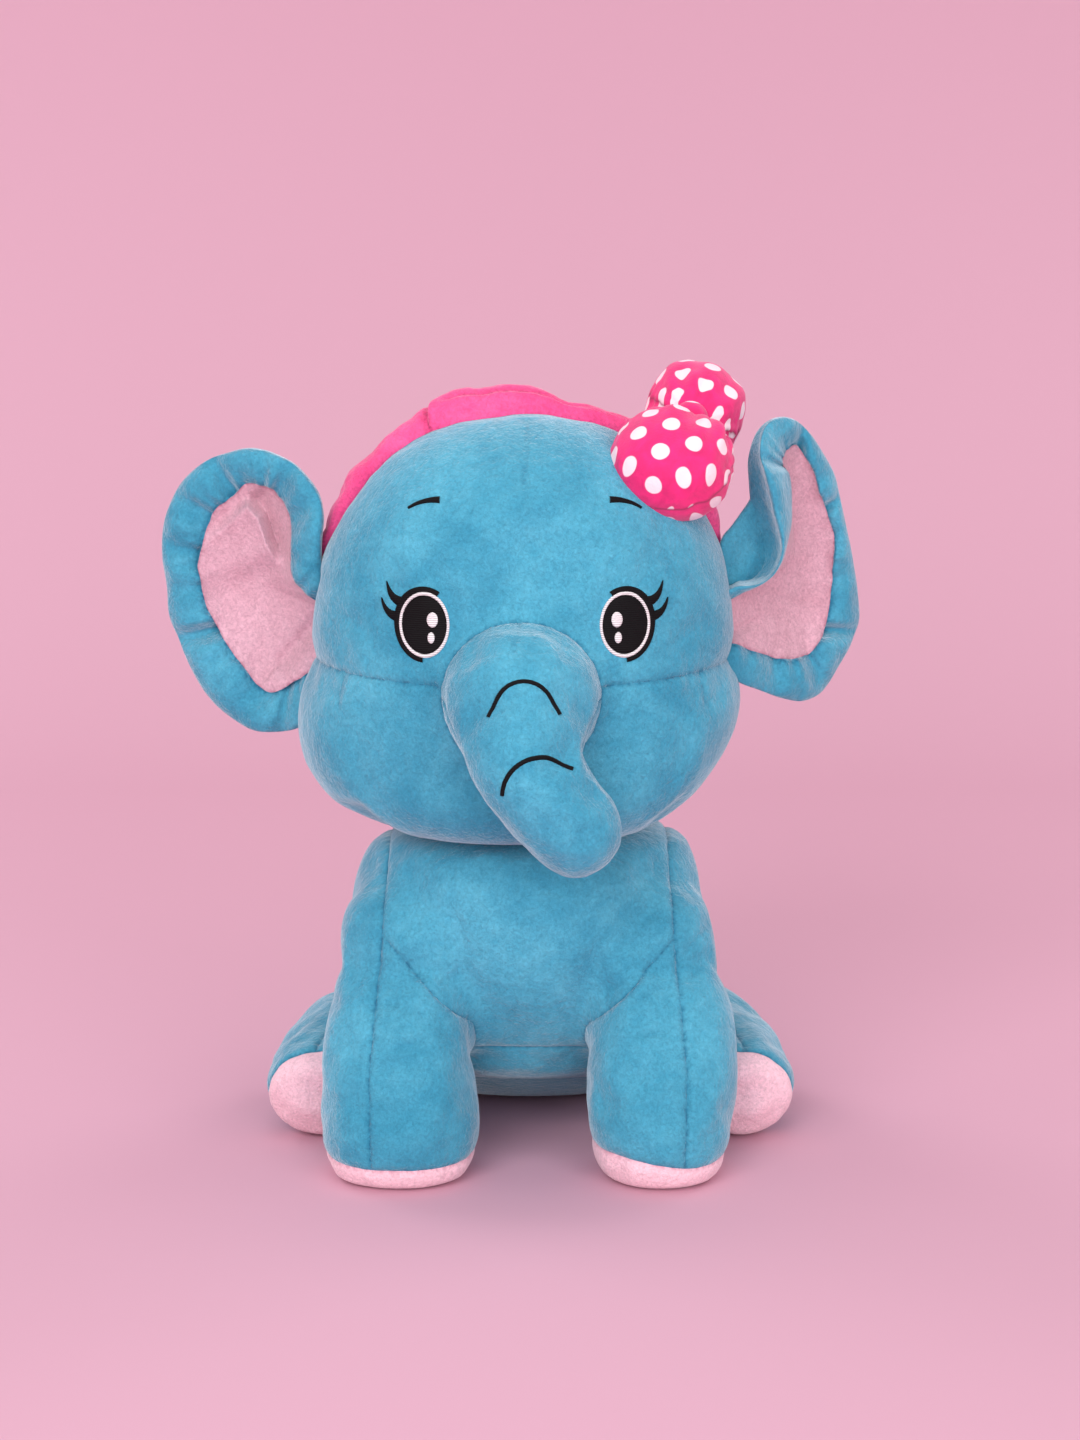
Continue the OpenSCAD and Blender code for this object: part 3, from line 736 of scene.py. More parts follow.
torso_form = upright(TORSO_ROWS, BODY_SQUARE)
leg_forms = [front_leg(s) for s in (1, -1)]
body, body_trees = union("body_skin", [torso_form, *leg_forms], 4.0, 26, 16)
rest = read(body.data)
f = body_fields(rest, edges_of(body.data))
on_leg = (f[:, 0] > 0) | (f[:, 1] > 0)
held = held_seams(f, ((2, True), (3, ~on_leg), (4, on_leg)))
held = np.maximum(held, (rest[:, 2] < 2.5) | (rest[:, 2] > 160))
puffy = above_floor(puffed(body, held))
between = smooth_step((48 - np.abs(puffy[:, 0])) / 16) * smooth_step((puffy[:, 1] + 32) / 16)
between = between * smooth_step((75 - puffy[:, 1]) / 55) * smooth_step((42 - puffy[:, 2]) / 40)
puffy[:, 2] += SEAT_RISE * between
slimmer = np.interp(puffy[:, 2], [80, 102, 124, 150, 160], [0, 3, 4.3, 2, 0])
puffy[:, 0] -= slimmer * smooth_step((puffy[:, 0] - 40) / 35)
foot = smooth_step((55 - puffy[:, 2]) / 50) * (puffy[:, 0] > 0) * smooth_step((-20 - puffy[:, 1]) / 15)
puffy[:, 0] -= (puffy[:, 0] - FOOT_X) * FOOT_SLIMMER * foot
write_points(body, puffy)
points, tris, fields, side_of = cut_skin(body, body_fields)
middle = points[tris].mean(1)
label = np.zeros(len(tris), int)
names = ["chest", "back", "side_left", "side_right", "seat"]
label[middle[:, 1] > 15] = 1
label[(side_of[:, 2] > 0) & (middle[:, 0] > 0)] = 2
label[(side_of[:, 2] > 0) & (middle[:, 0] < 0)] = 3
label[side_of[:, 3] < 0] = 4
for n, (side, mark_side) in enumerate((("left", 0), ("right", 1))):
    leg = side_of[:, mark_side] > 0
    base = len(names)
    names += ["leg_inner_" + side, "leg_outer_" + side, "sole_" + side]
    label[leg] = np.where(side_of[leg, 2] > 0, base + 1, base)
    label[leg & (side_of[:, 4] < 0)] = base + 2
edge = seam_points(tris, label, len(points))
is_leg = np.isin(label, [n for n, name in enumerate(names) if "leg" in name or "sole" in name])
rig_edge = seam_points(tris, is_leg.astype(int), len(points))
outside = np.abs(points[:, 0]) > np.interp(points[:, 2], [100, 118], [70, 73])
soft_edge = rig_edge & (outside | (points[:, 1] > -40))
still = (np.abs(fields[:, 2]) < 0.01) | (np.abs(fields[:, 3]) < 0.01) | (np.abs(fields[:, 4]) < 0.01)
real = edge & ~(soft_edge & ~still) & (points[:, 2] < 163)
points, seam = grooved(points, tris, real)
body_tree = tree_of(points, tris.tolist())
creases = [
    front_line(body_tree, (-72, 90), (-53, 86)), front_line(body_tree, (-66, 71), (-54, 74)),
    front_line(body_tree, (52, 92), (66, 97)), front_line(body_tree, (56, 76), (67, 78)),
    front_line(body_tree, (78, 112), (90, 121)), front_line(body_tree, (79, 98), (88, 104)),
]
# The creases near the tops of the front legs are drawn in and darkened as painted shade.
points, crease_shade = lines_drawn(points, tris, creases, 1.3, 2.6, 0.22)
seam = np.maximum(seam, crease_shade)
normals = point_normals(above_floor(points), tris)

NECK_BEND = [[0, 0, 130], [0, 0, 165]]
body_nodes = {
    "chest": ["chest_panel", "torso_stuffing", "neck_stuffing"], "back": ["back_panel"],
    "side_left": ["side_panel_left"], "side_right": ["side_panel_right"], "seat": ["seat_panel"],
}
for n, name in enumerate(names):
    part = piece(name + "_cloth", points, tris, normals, seam, label == n, real)
    if name in body_nodes:
        finish_piece(part, "blue", ("torso", "neck"), body_nodes[name], bend=NECK_BEND)
        continue
    side = name.rsplit("_", 1)[1]
    nodes = {
        "leg_inner": ["front_leg_inner_" + side],
        "leg_outer": ["front_leg_outer_" + side, "front_leg_stuffing_" + side],
        "sole": ["front_sole_" + side],
    }[name.rsplit("_", 1)[0]]
    part.name = "front_" + part.name
    finish_piece(
        part, "pale" if "sole" in name else "blue", ("torso", "front_leg_" + side), nodes,
        bend=[[0, 0, 112], [0, 0, 52]],
    )
drop(body)

# Under the skin, a closed bag of the torso fills any gap that opens behind a raised leg
bag_rows = [[r[0] * 0.97 + 3, r[1] - 4, r[2] + 4, r[3] - 4] if r[1] > 5 else [r[0] * 0.97 + 3, *r[1:]]
            for r in TORSO_ROWS]
bag = new_object("torso_bag", *upright(bag_rows, BODY_SQUARE, rings=40, count=48))
mark(bag, np.zeros(len(bag.data.vertices)))
finish_piece(bag, "blue", ("torso", "neck"), [], bend=NECK_BEND)

# ---------------------------------------------------------------- head and trunk

trunk_rows = [[HEAD_X + r[0], *r[1:]] for r in TRUNK_ROWS]
trunk_line = spline(trunk_rows, np.linspace(0, len(trunk_rows) - 1, 400))
trunk_up = limb_axes(trunk_line)[1]


def trunk_height(points):
    """How far above the trunk's side seams each point is, seen along the trunk."""
    tree = KDTree(len(trunk_line))
    for i, p in enumerate(trunk_line):
        tree.insert(Vector(p[:3]), i)
    tree.balance()
    i = np.array([tree.find(Vector(p))[1] for p in points])
    return -((points - trunk_line[i, :3]) * trunk_up[i]).sum(1)


def head_fields(points, edges):
    """Distances from the head's seam lines: trunk root, trunk sides, cheek seam, back seam."""
    x, y, z = points.T
    root = np.where(y < -60, distances(head_trees[0], points) - 3.2, -20)
    root = averaged(np.where(z > 292, -20, root), edges, 5)
    dip = np.abs(x - HEAD_X) / 100
    return np.stack([root, trunk_height(points), z - CHEEK_Z - 4 * dip**2, y - EAR_Y], 1)


head_form = upright([[r[0] + CHIN_Z, *r[1:]] for r in HEAD_ROWS], HEAD_SQUARE, HEAD_X, rings=110)
trunk_form = limb(trunk_rows, rings=90)
head, head_trees = union("head_skin", [head_form, trunk_form], 4.0, 12, 9)
rest = read(head.data)
f = head_fields(rest, edges_of(head.data))
on_trunk = f[:, 0] > 0
held = held_seams(f, ((1, on_trunk), (2, ~on_trunk & (rest[:, 1] < EAR_Y)), (3, ~on_trunk)))
held = np.maximum(held, np.where(np.abs(f[:, 0]) < 4, 0.8, 0))
held = np.maximum(held, (rest[:, 2] < 176) & (np.abs(rest[:, 0]) < 60))


def chin_corners(points):
    """Rounds the lower corners of the cheeks, most of all on the left."""
    x, _, z = points.T
    across = (x - HEAD_X) / np.interp(z, [166, 174, 188, 204, 222, 250], [60, 86, 101, 110, 113, 112])
    left = np.interp(z, [166, 174, 188, 202, 217, 231, 243], [0.17, 0.185, 0.13, 0.092, 0.05, 0.022, 0])
    right = np.interp(z, [166, 174, 181, 188, 200], [0.15, 0.095, 0.03, 0.015, 0])
    share = np.where(across > 0, left, right) * np.minimum(across**2, 1.2)
    out = points.copy()
    out[:, 0] -= (x - HEAD_X) * share
    return out


write_points(head, chin_corners(puffed(head, held, most=4.0)))
points, tris, fields, side_of = cut_skin(head, head_fields)
label = np.where(side_of[:, 2] > 0, 0, 1)
label[side_of[:, 3] > 0] = 2
label[side_of[:, 0] > 0] = np.where(side_of[side_of[:, 0] > 0, 1] > 0, 3, 4)
real = seam_points(tris, label, len(points))
points, seam = grooved(points, tris, real)
skin_tree = tree_of(points, tris.tolist())
darts = [
    front_line(skin_tree, (-1, 374), (-3, 346)), front_line(skin_tree, (-92, 252), (-95, 236)),
    front_line(skin_tree, (84, 252), (87, 236)), front_line(skin_tree, (-6, 281), (-7, 271)),
]
# The darts are drawn in and darkened: the sewn dart line and painted shade along it.
points, dart_seam_and_shade = lines_drawn(points, tris, darts, 1.1, 1.6, 0.55)
seam = np.maximum(seam, dart_seam_and_shade)
normals = point_normals(points, tris)
head_tree = tree_of(points, tris.tolist())

TRUNK_BEND = [[0, -84, 220], [0, -109.5, 194.5]]
HEAD_BEND = [[0, 0, 168], [0, 0, 200]]
for n, (name, bodies, nodes, bend) in enumerate((
    ("face_cloth", "head", ["face_panel", "head_stuffing"], None),
    ("cheek_cloth", ("neck", "head"), ["cheek_panel"], HEAD_BEND),
    ("head_back_cloth", ("neck", "head"), ["head_back_panel"], HEAD_BEND),
    ("trunk_front_cloth", ("head", "trunk"), ["trunk_front_panel", "trunk_stuffing"], TRUNK_BEND),
    ("trunk_under_cloth", ("head", "trunk"), ["trunk_under_panel"], TRUNK_BEND),
)):
    part = piece(name, points, tris, normals, seam, label == n, real)
    finish_piece(part, "blue", bodies, nodes, bend=bend)
drop(head)

# ---------------------------------------------------------------- hind legs and tail

for side, word in ((1, "left"), (-1, "right")):
    form = limb(mirrored(HIND_ROWS, side), rings=60, count=64)
    leg = new_object("hind_skin", *form)
    with_modifier(leg, "REMESH", mode="VOXEL", voxel_size=3.2 * MM, use_smooth_shade=True)
    p, e = read(leg.data), edges_of(leg.data)
    p = above_floor(averaged(p, e, 3, 0.4))
    write_points(leg, p)

    def hind_fields(points, _):
        """Distances from the sole's seam and from the seam along the leg."""
        x, y, z = points.T
        return np.stack([y + 12 + 0.3 * (z - 30), side * x - 105 + 0.25 * (y - 10)], 1)

    f = hind_fields(p, e)
    held = np.maximum(near_seam(f[:, 0], 2.2), np.where(f[:, 0] > 0, near_seam(f[:, 1], 2.2), 0))
    p = puffed(leg, np.maximum(held, p[:, 2] < 1.5), most=3.5)
    p[:, 2] *= HIND_SQUASH
    write_points(leg, above_floor(p))
    points, tris, fields, side_of = cut_skin(leg, hind_fields)
    label = np.where(side_of[:, 1] > 0, 0, 1)
    label[side_of[:, 0] < 0] = 2
    real = seam_points(tris, label, len(points))
    points, seam = grooved(points, tris, real)
    normals = point_normals(above_floor(points), tris)
    for n, (name, nodes) in enumerate((
        ("outer", ["hind_leg_outer_" + word, "hind_leg_stuffing_" + word]),
        ("inner", ["hind_leg_inner_" + word]),
        ("sole", ["hind_sole_" + word]),
    )):
        part = piece(f"hind_{name}_{word}_cloth", points, tris, normals, seam, label == n, real)
        finish_piece(
            part, "pale" if name == "sole" else "blue", ("torso", "hind_leg_" + word), nodes,
            bend=[[side * 58, 0, 36], [side * 80, 0, 36]],
        )
    drop(leg)

tail = new_object("tail_cloth", *limb(TAIL_ROWS, rings=60, count=40))
tail_points = read(tail.data)
# A line down the back of the tail is darkened: the seam and painted shade in it.
mark(tail, 0.8 * np.exp(-((np.abs(tail_points[:, 0]) / 1.0) ** 1.5)) * (tail_points[:, 1] > 138))
finish_piece(tail, "blue", ("torso", "tail"), ["tail_cover", "tail_stuffing"],
             bend=[[0, 119, 57], [0, 126, 57]])

# ---------------------------------------------------------------- ears

def closed_spline(rows, count):
    """Evenly numbered points on a smooth closed curve through the rows."""
    p = np.array(rows, float)
    n = len(p)
    at = np.arange(count) * n / count
    i = at.astype(int)
    f = (at - i)[:, None]
    a, b, c, d = (p[(i + k) % n] for k in (-1, 0, 1, 2))
    return 0.5 * (2 * b + (c - a) * f + (2 * a - 5 * b + 4 * c - d) * f**2 + (3 * b - a - 3 * c + d) * f**3)


def bump_round(at, places, n):
    """Sum of round bumps on a ring of n numbered places: rows of place, height and width."""
    out = np.zeros(len(at))
    for place, height, width in places:
        d = np.abs((at - place + n / 2) % n - n / 2)
        out += height * np.exp(-((d / width) ** 2))
    return out


def from_line(x, z, line):
    """Signed distance from a bent line seen from the front, and how far along it, from 0 to 1."""
    line = np.array(line, float)
    best, share = np.full(x.shape, 1e9), np.zeros(x.shape)
    sign = np.ones(x.shape)
    for k in range(len(line) - 1):
        p, d = line[k], line[k + 1] - line[k]
        t = np.clip(((x - p[0]) * d[0] + (z - p[1]) * d[1]) / (d @ d), 0, 1)
        ox, oz = x - p[0] - t * d[0], z - p[1] - t * d[1]
        r = np.hypot(ox, oz)
        nearer = r < best
        best = np.where(nearer, r, best)
        share = np.where(nearer, (k + t) / (len(line) - 1), share)
        sign = np.where(nearer, np.sign(ox * -d[1] + oz * d[0]), sign)
    return best * sign, share


def make_ear(word, rows, centre, plane, creases, inside, seed):
    """An ear from rows of outer x and z, lining edge x and z, rim fullness, forward curl, turn of the back.

    The plane is given by a place sideways, the slope there and the depth there. Creases are rows of
    place on the ring, height and width; inside gives the lining's folds.
    """
    around = 320
    r = closed_spline(rows, around)
    outer, inner, full, curl, turn_back = r[:, :2], r[:, 2:4], r[:, 4], r[:, 5], r[:, 6]
    at = np.arange(around) * len(rows) / around
    crease = bump_round(at, creases, len(rows))
    t = np.arange(around) * 2 * math.pi / around
    ripple = np.array([noise.noise(Vector((math.cos(v) * 4.5, math.sin(v) * 4.5, seed))) for v in t])
    fine = np.array([noise.noise(Vector((math.cos(v) * 8.5, math.sin(v) * 8.5, seed))) for v in t])
    tuck = 2.2 * fine + 2.0 * ripple + 0.9 * crease
    place, slope, middle_y = plane
    side = 1 if word == "left" else -1
    centre = np.array(centre, float)

    def flat_y(xz):
        return middle_y + (side * xz[:, 0] - place) * slope

    def ring(xz, y):
        return np.stack([xz[:, 0], y, xz[:, 1]], 1)

    edge_y = flat_y(inner) - 7 - 0.5 * curl + 0.8 * tuck
    even = inner
    inner = inner + unit(inner - centre) * (0.9 * fine + 0.9 * ripple)[:, None]
    # seam holds how dark each ring is painted: the ear's seam lines and painted shade in them.
    rings, seam = [], []
    for k in np.linspace(0.02, 1, 60):
        xz = centre + (even - centre) * k + (inner - even) * k**8
        y = flat_y(xz) + 6 * (1 - k**2) + (edge_y - flat_y(inner) - 0.8 * tuck) * k**3
        y = y + 0.8 * tuck * k**9 + inside(xz[:, 0], xz[:, 1])
        rings.append(ring(xz, y))
        seam.append(0.85 * math.exp(-(((1 - k) * 40 / 0.9) ** 1.5)))
    lining = len(rings)
    outer_y = flat_y(outer) - 6 - curl + 0.5 * crease
    for k in np.linspace(0, 1, 40)[1:]:
        xz = inner + (outer - inner) * (1 - (1 - k) ** 1.25)
        swell = math.sin(math.pi * k) ** 0.62
        dent = (tuck * 0.9) * math.exp(-((k / 0.4) ** 2)) + crease * math.sin(math.pi * k) ** 0.5
        y = edge_y + (outer_y - edge_y) * k - full * swell + dent * (k > 0)
        rings.append(ring(xz, y))
        near = math.exp(-(((1 - k) * 12 / 1.0) ** 1.5)) * 0.45 + 0.85 * math.exp(-((k * 12 / 0.9) ** 1.5))
        seam.append(near)
    back = outer + np.stack([turn_back, 0 * turn_back], 1)
    for k in np.linspace(0, 1, 50)[1:]:
        w = smooth_step(k / 0.3)
        xz = outer + (back - outer) * w * (1 - smooth_step((k - 0.3) / 0.7))
        xz = xz + (centre - xz) * (0.97 * smooth_step((k - 0.06) / 0.94))
        y = outer_y + (flat_y(xz) + 7.5 - outer_y) * math.sin(math.pi / 2 * min(k / 0.45, 1)) ** 0.8
        y = y + crease * 0.5 * math.sin(math.pi * min(k * 1.6, 1))
        rings.append(ring(xz, y))
        seam.append(0.45 * math.exp(-((k * 60 / 1.0) ** 1.5)))
    rings = np.array(rings)
    seam = np.repeat(np.array(seam)[:, None], around, 1)
    rim = slice(lining, None)
    flat = rings[rim].reshape(-1, 3)
    flat[:, 1] += 1.3 * wavy(flat, 11, seed) + 0.3 * wavy(flat, 5.5, seed + 2)
    rings[rim] = flat.reshape(rings[rim].shape)
    # The lining takes the darker copy of the pale pink plush, as painted shade; the rim and back are blue.
    for name, part, cloth, nodes in (
        ("lining", slice(0, lining), "lining", ["ear_lining_" + word]),
        ("back", slice(lining - 1, None), "blue", ["ear_back_" + word, "ear_wadding_" + word]),
    ):
        p = rings[part]
        faces = grid_faces(len(p), around)
        faces = faces[:-2] + ([faces[-2]] if name == "lining" else [faces[-1]])
        if side > 0:
            faces = [f[::-1] for f in faces]
        obj = new_object(f"ear_{name}_{word}_cloth", p.reshape(-1, 3), faces)
        mark(obj, seam[part].ravel())
        finish_piece(obj, cloth, ("head", "ear_" + word), nodes,
                     bend=[[side * 96, 0, 290], [side * 112, 0, 290]])


RIGHT_EAR = [
    [-142, 358, -140, 340, 6, 2, 0], [-155, 355, -146.5, 338, 6, 2, 0], [-167, 350, -153, 332, 6.5, 2, 0],
    [-178, 340.5, -161, 326, 7, 2, 0], [-185, 329, -165, 318, 7, 2, 0], [-189.5, 315, -168, 308, 7, 2, 0],
    [-190, 300, -170, 298, 7, 2, 0], [-188, 285, -169.5, 287, 7, 2, 0], [-187, 271, -166, 275, 7, 2, 0],
    [-182, 257.5, -160, 263, 6.5, 2, 0], [-175.5, 243, -153, 253, 6.5, 2, 0],
    [-167, 229.5, -146, 244, 6.5, 2, 0], [-156, 219.5, -140, 236.5, 6.5, 2, 0],
    [-144, 213.5, -133.5, 234, 6.5, 2, 0], [-132, 212.5, -126, 236.5, 6, 2, 0],
    [-122, 214.5, -118.5, 241.5, 5, 2, 0], [-112, 220, -110, 247, 4, 2, 0], [-102, 230, -101, 252, 2, 1, 0],
    [-95, 245, -96, 258, 1, 0, 0], [-94, 262, -95, 265, 1, 0, 0], [-95, 282, -98, 274, 2, 1, 0],
    [-102, 291, -108, 281, 4, 4, 0], [-105, 302, -116, 288, 5.5, 6, 0], [-105, 313, -121, 297, 6.5, 7, 0],
    [-104, 325, -121.5, 310, 7, 6, 0], [-107, 337, -122, 324, 6.5, 4, 0], [-116, 348, -127, 333, 6, 3, 0],
    [-128, 355, -133, 338.5, 6, 2, 0],
]
RIGHT_FOLD = [[-145, 334], [-136, 324], [-132, 311], [-125, 296]]
RIGHT_WRINKLE = [[-106, 273], [-127, 249]]


def right_lining(x, z):
    d, along = from_line(x, z, RIGHT_FOLD)
    d = -d
    ends = smooth_step(along / 0.15) * smooth_step((1 - along) / 0.3)
    y = -12.5 * smooth_step((d + 0.4) / 3.6) * np.exp(-np.maximum(d, 0) / 26) * ends
    y = y + 5.5 * np.exp(-((np.minimum(d, 0) / 17) ** 2)) * (d < 0) * ends * smooth_step(-d / 1.5)
    w, _ = from_line(x, z, RIGHT_WRINKLE)
    y = y + 4.6 * np.exp(-((w / 4.2) ** 2)) - 2.4 * np.exp(-(((w - 9) / 5) ** 2))
    return y + 1.3 * wavy(np.stack([x, 0 * x, z], 1), 22, 3)


LEFT_EAR = [
    [126, 373.5, 131, 356.5, 5, 3, -3], [135, 371.5, 135.5, 358, 5, 2, 0],
    [143.5, 364, 141, 352, 4.5, 2, 0], [150.5, 354, 145.5, 345, 4, 2, 0], [157, 343, 148.5, 335.5, 4, 2, 0],
    [160, 333, 152, 327, 4, 2, 0], [163, 321, 155, 318, 4, 2, 0], [166, 309, 157.5, 308, 4, 2, 0],
    [169, 296, 158, 296, 4.5, 2, 0], [171.5, 282, 156.5, 283.5, 5, 2, 0], [173, 266, 154.5, 267, 5.5, 2, 0],
    [169.5, 254.5, 152, 258.5, 6, 2, 0], [161.5, 241.5, 147.5, 252.5, 6, 2, 0],
    [153, 229.5, 142, 249, 6, 2, 0], [142, 226, 135, 248.5, 6, 2, 0], [130.5, 228.5, 127, 250, 6, 2, 0],
    [117, 235, 117, 254, 5, 2, 0], [105, 241, 106, 259.5, 3, 1, 0], [95, 250, 96, 264, 1, 0, 0],
    [93, 266, 94, 270, 1, 0, 0], [94, 284, 96, 280, 1.5, 1, 0], [103, 290, 106, 285.5, 3, 4, -1],
    [114, 291, 116, 289.5, 6, 9, -4], [122.5, 296.5, 125, 296, 8, 13, -8],
    [126.5, 309, 131, 309, 9.5, 16, -12], [122.5, 326, 133, 326, 10, 17, -13],
    [118, 344, 132, 343, 9.5, 16, -11], [115, 359, 128, 350.5, 6, 11, -8],
    [118, 369.5, 129, 354.5, 5.5, 6, -6],
]


def left_lining(x, z):
    return (
        2.8 * np.exp(-(((z - 0.35 * (x - 105) - 266) / 2.5) ** 2)) * smooth_step((122 - x) / 10)
        + 1.2 * wavy(np.stack([x, 0 * x, z], 1), 24, 8)
    )


make_ear(
    "right", RIGHT_EAR, (-143, 288), (148, 0.364, 12),
    [[1.6, 4.4, 0.42], [3.6, 2.6, 0.5], [5.4, 2.2, 0.5], [7.0, 2.0, 0.5], [8.9, 5.2, 0.32],
     [12.2, 2.4, 0.55], [14.4, 3.2, 0.5], [16.2, 3.2, 0.45], [24.8, 2.4, 0.45], [26.3, 3.4, 0.4],
     [27.4, 2.8, 0.35]],
    right_lining, 1.7,
)
make_ear(
    "left", LEFT_EAR, (138, 298), (136, 0.839, 20),
    [[1.5, 3.2, 0.42], [5.2, 2.8, 0.36], [8.4, 1.8, 0.5], [10.6, 4.4, 0.36], [12.9, 2.6, 0.45],
     [15.4, 2.6, 0.5], [26.7, 3.8, 0.3]],
    left_lining, 4.4,
)

# The back of the left ear shows behind its curled rim, down to the head
ROOT_OUTLINE = [[94, 286], [94, 302], [97, 313], [102, 319], [109, 328], [115, 336], [122, 336], [129, 320],
                [128, 302], [119, 289], [104, 284]]
outline = closed_spline(ROOT_OUTLINE, 120)
middle_xz = np.array([108.0, 308.0])
rings = []
for a in np.radians(np.linspace(-88, 88, 41)):
    xz = middle_xz + (outline - middle_xz) * math.cos(a) ** 0.5
    y = 20 + (xz[:, 0] - 136) * 0.62 + 4.5 * math.sin(a)
    rings.append(np.stack([xz[:, 0], y, xz[:, 1]], 1))
p = np.array(rings).reshape(-1, 3)
p[:, 1] += 1.2 * wavy(p, 10, 5.5)
root = new_object("ear_root_left_cloth", p, grid_faces(len(rings), len(outline)))
mark(root, np.zeros(len(p)))
finish_piece(root, "blue", ("head", "ear_left"), [], bend=[[96, 0, 290], [112, 0, 290]])

# ---------------------------------------------------------------- headband and bow

# Degrees from the top of the head, fullness, front edge, back edge
BAND_ROWS = [
    [-86, 4, -6, 16], [-72, 7.5, -10, 20], [-58, 9.5, -11, 21], [-45, 9.5, -11, 21], [-35, 10.5, -11, 21],
    [-31, 13.5, -12, 21], [-26, 16, -12, 21], [-12, 16, -11, 21], [2, 13.5, -9, 21], [12, 10, -7, 21],
    [24, 8.5, -7, 21], [40, 8.5, -8, 21], [58, 8.5, -7, 20], [70, 7, -3, 18], [79, 3, 2, 14],
]
BAND_MIDDLE_Z = 290
PLEAT_ANGLE = -31


def make_band():
    """A padded strip that follows the head, with a pleat and a lengthwise fold."""
    rows = spline(BAND_ROWS, np.linspace(0, len(BAND_ROWS) - 1, 320))
    count = 88
    c, s = round_section(count, 2.5)
    angle = np.radians(rows[:, 0:1])
    across = np.broadcast_to(c, (len(rows), count))
    y = (rows[:, 2:3] + rows[:, 3:4]) / 2 + (rows[:, 3:4] - rows[:, 2:3]) / 2 * c
    radius = np.empty_like(y)
    for i, a in enumerate(angle[:, 0]):
        way = Vector((math.sin(a), 0, math.cos(a)))
        for k in range(count):
            start = Vector((HEAD_X, y[i, k], BAND_MIDDLE_Z)) + 300 * way
            radius[i, k] = 300 - head_tree.ray_cast(start, -way)[3]
    arc = radius * (angle - np.radians(PLEAT_ANGLE + 5 * (c + 1)))
    pleat = np.exp(-((arc / 2.0) ** 2)) * smooth_step((0.75 - across) / 0.5)
    lower = smooth_step(-arc / 2.5) * np.exp(np.minimum(arc, 0) / 14) * smooth_step((0.7 - across) / 0.5)
    crest = np.exp(-(((np.degrees(np.arctan2(s, c)) - 126) / 7) ** 2))
    fold = crest * smooth_step((np.degrees(angle) + 27) / 6) * smooth_step((24 - np.degrees(angle)) / 12)
    lift = np.where(s > 0, rows[:, 1:2] * s, 1.6 * s)
    lift = lift * (1 - 0.2 * lower * (s > 0)) - (5.2 * pleat + 1.6 * fold) * (s > 0.05)
    r = radius + 0.4 + lift
    p = np.stack([HEAD_X + r * np.sin(angle), y + 0 * r, BAND_MIDDLE_Z + r * np.cos(angle)], -1)
    flat = p.reshape(-1, 3)
    ripple = 0.55 * wavy(flat * np.array([1, 0.35, 1]), 13, 3.3) + 0.45 * wavy(flat, 5, 1.2)
    way = np.stack([np.sin(angle) + 0 * r, 0 * r, np.cos(angle) + 0 * r], -1)
    way = way * np.maximum(s, 0)[None, :, None]
    flat = flat + ripple[:, None] * way.reshape(-1, 3)
    band = new_object("headband_cloth", flat, grid_faces(len(rows), count))
    # The pleat and the lengthwise fold are darkened as painted shade.
    mark(band, (0.85 * np.maximum(pleat, 0.5 * fold) * (s > 0.05)).ravel())
    finish_piece(band, "hot", "head", ["headband_cover", "headband_wadding"])


make_band()

BOW_AT = (80, -14, 374)
# Along the loop, half width, half thickness
FRONT_LOOP = [[0.5, 3, 2.5], [2, 9, 7], [5, 18, 13], [10, 25, 18], [18, 29, 22], [28, 31, 24.5],
              [38, 30.5, 24.5], [47, 26.5, 21.5], [54, 19, 15.5], [58, 10, 8], [59.3, 4, 3.5], [59.5, 1, 1]]
REAR_LOOP = [[0.5, 3, 2.5], [2, 8, 7], [5, 15, 13], [10, 20, 18], [18, 24, 22.5], [27, 26, 25.5],
             [36, 25.5, 25.5], [44, 21.5, 21.5], [50, 15, 15], [53.5, 8, 8], [54.8, 3.5, 3.5], [55, 1, 1]]


def placed(points, along, face):
    """Points given along a loop, across it and out of its face, at the bow's middle."""
    along = unit(np.array(along, float))
    face = unit(np.array(face, float) - along * np.dot(face, along))
    return points @ np.array([along, np.cross(face, along), face]) + np.array(BOW_AT, float)


def cloth_layout(obj, grid, count):
    """Lays each panel's cloth out flat in millimetres, measured over the surface from its middle line."""
    half = count // 2
    panels = []
    for quarter in (count // 4, 3 * count // 4):
        along = np.concatenate([[0], np.cumsum(np.linalg.norm(np.diff(grid[:, quarter], axis=0), axis=1))])
        turned_grid = np.roll(grid, half - quarter, axis=1)
        steps = np.linalg.norm(np.diff(turned_grid, axis=1, append=turned_grid[:, :1]), axis=2)
        over = np.concatenate([np.zeros((len(grid), 1)), np.cumsum(steps, 1)[:, :-1]], 1)
        over = np.roll(over - over[:, half:half + 1], quarter - half, axis=1)
        panels.append(np.stack([np.repeat(along[:, None], count, 1), over], -1).reshape(-1, 2))
    uv = obj.data.uv_layers.new(name="cloth")
    verts = np.empty(len(obj.data.loops), np.int32)
    obj.data.loops.foreach_get("vertex_index", verts)
    face_column = (np.arange(len(verts)) // 4) % count
    laid = np.where((face_column < half)[:, None], panels[0][verts], panels[1][verts] + 9.0)
    uv.data.foreach_set("uv", laid.astype(np.float32).ravel())


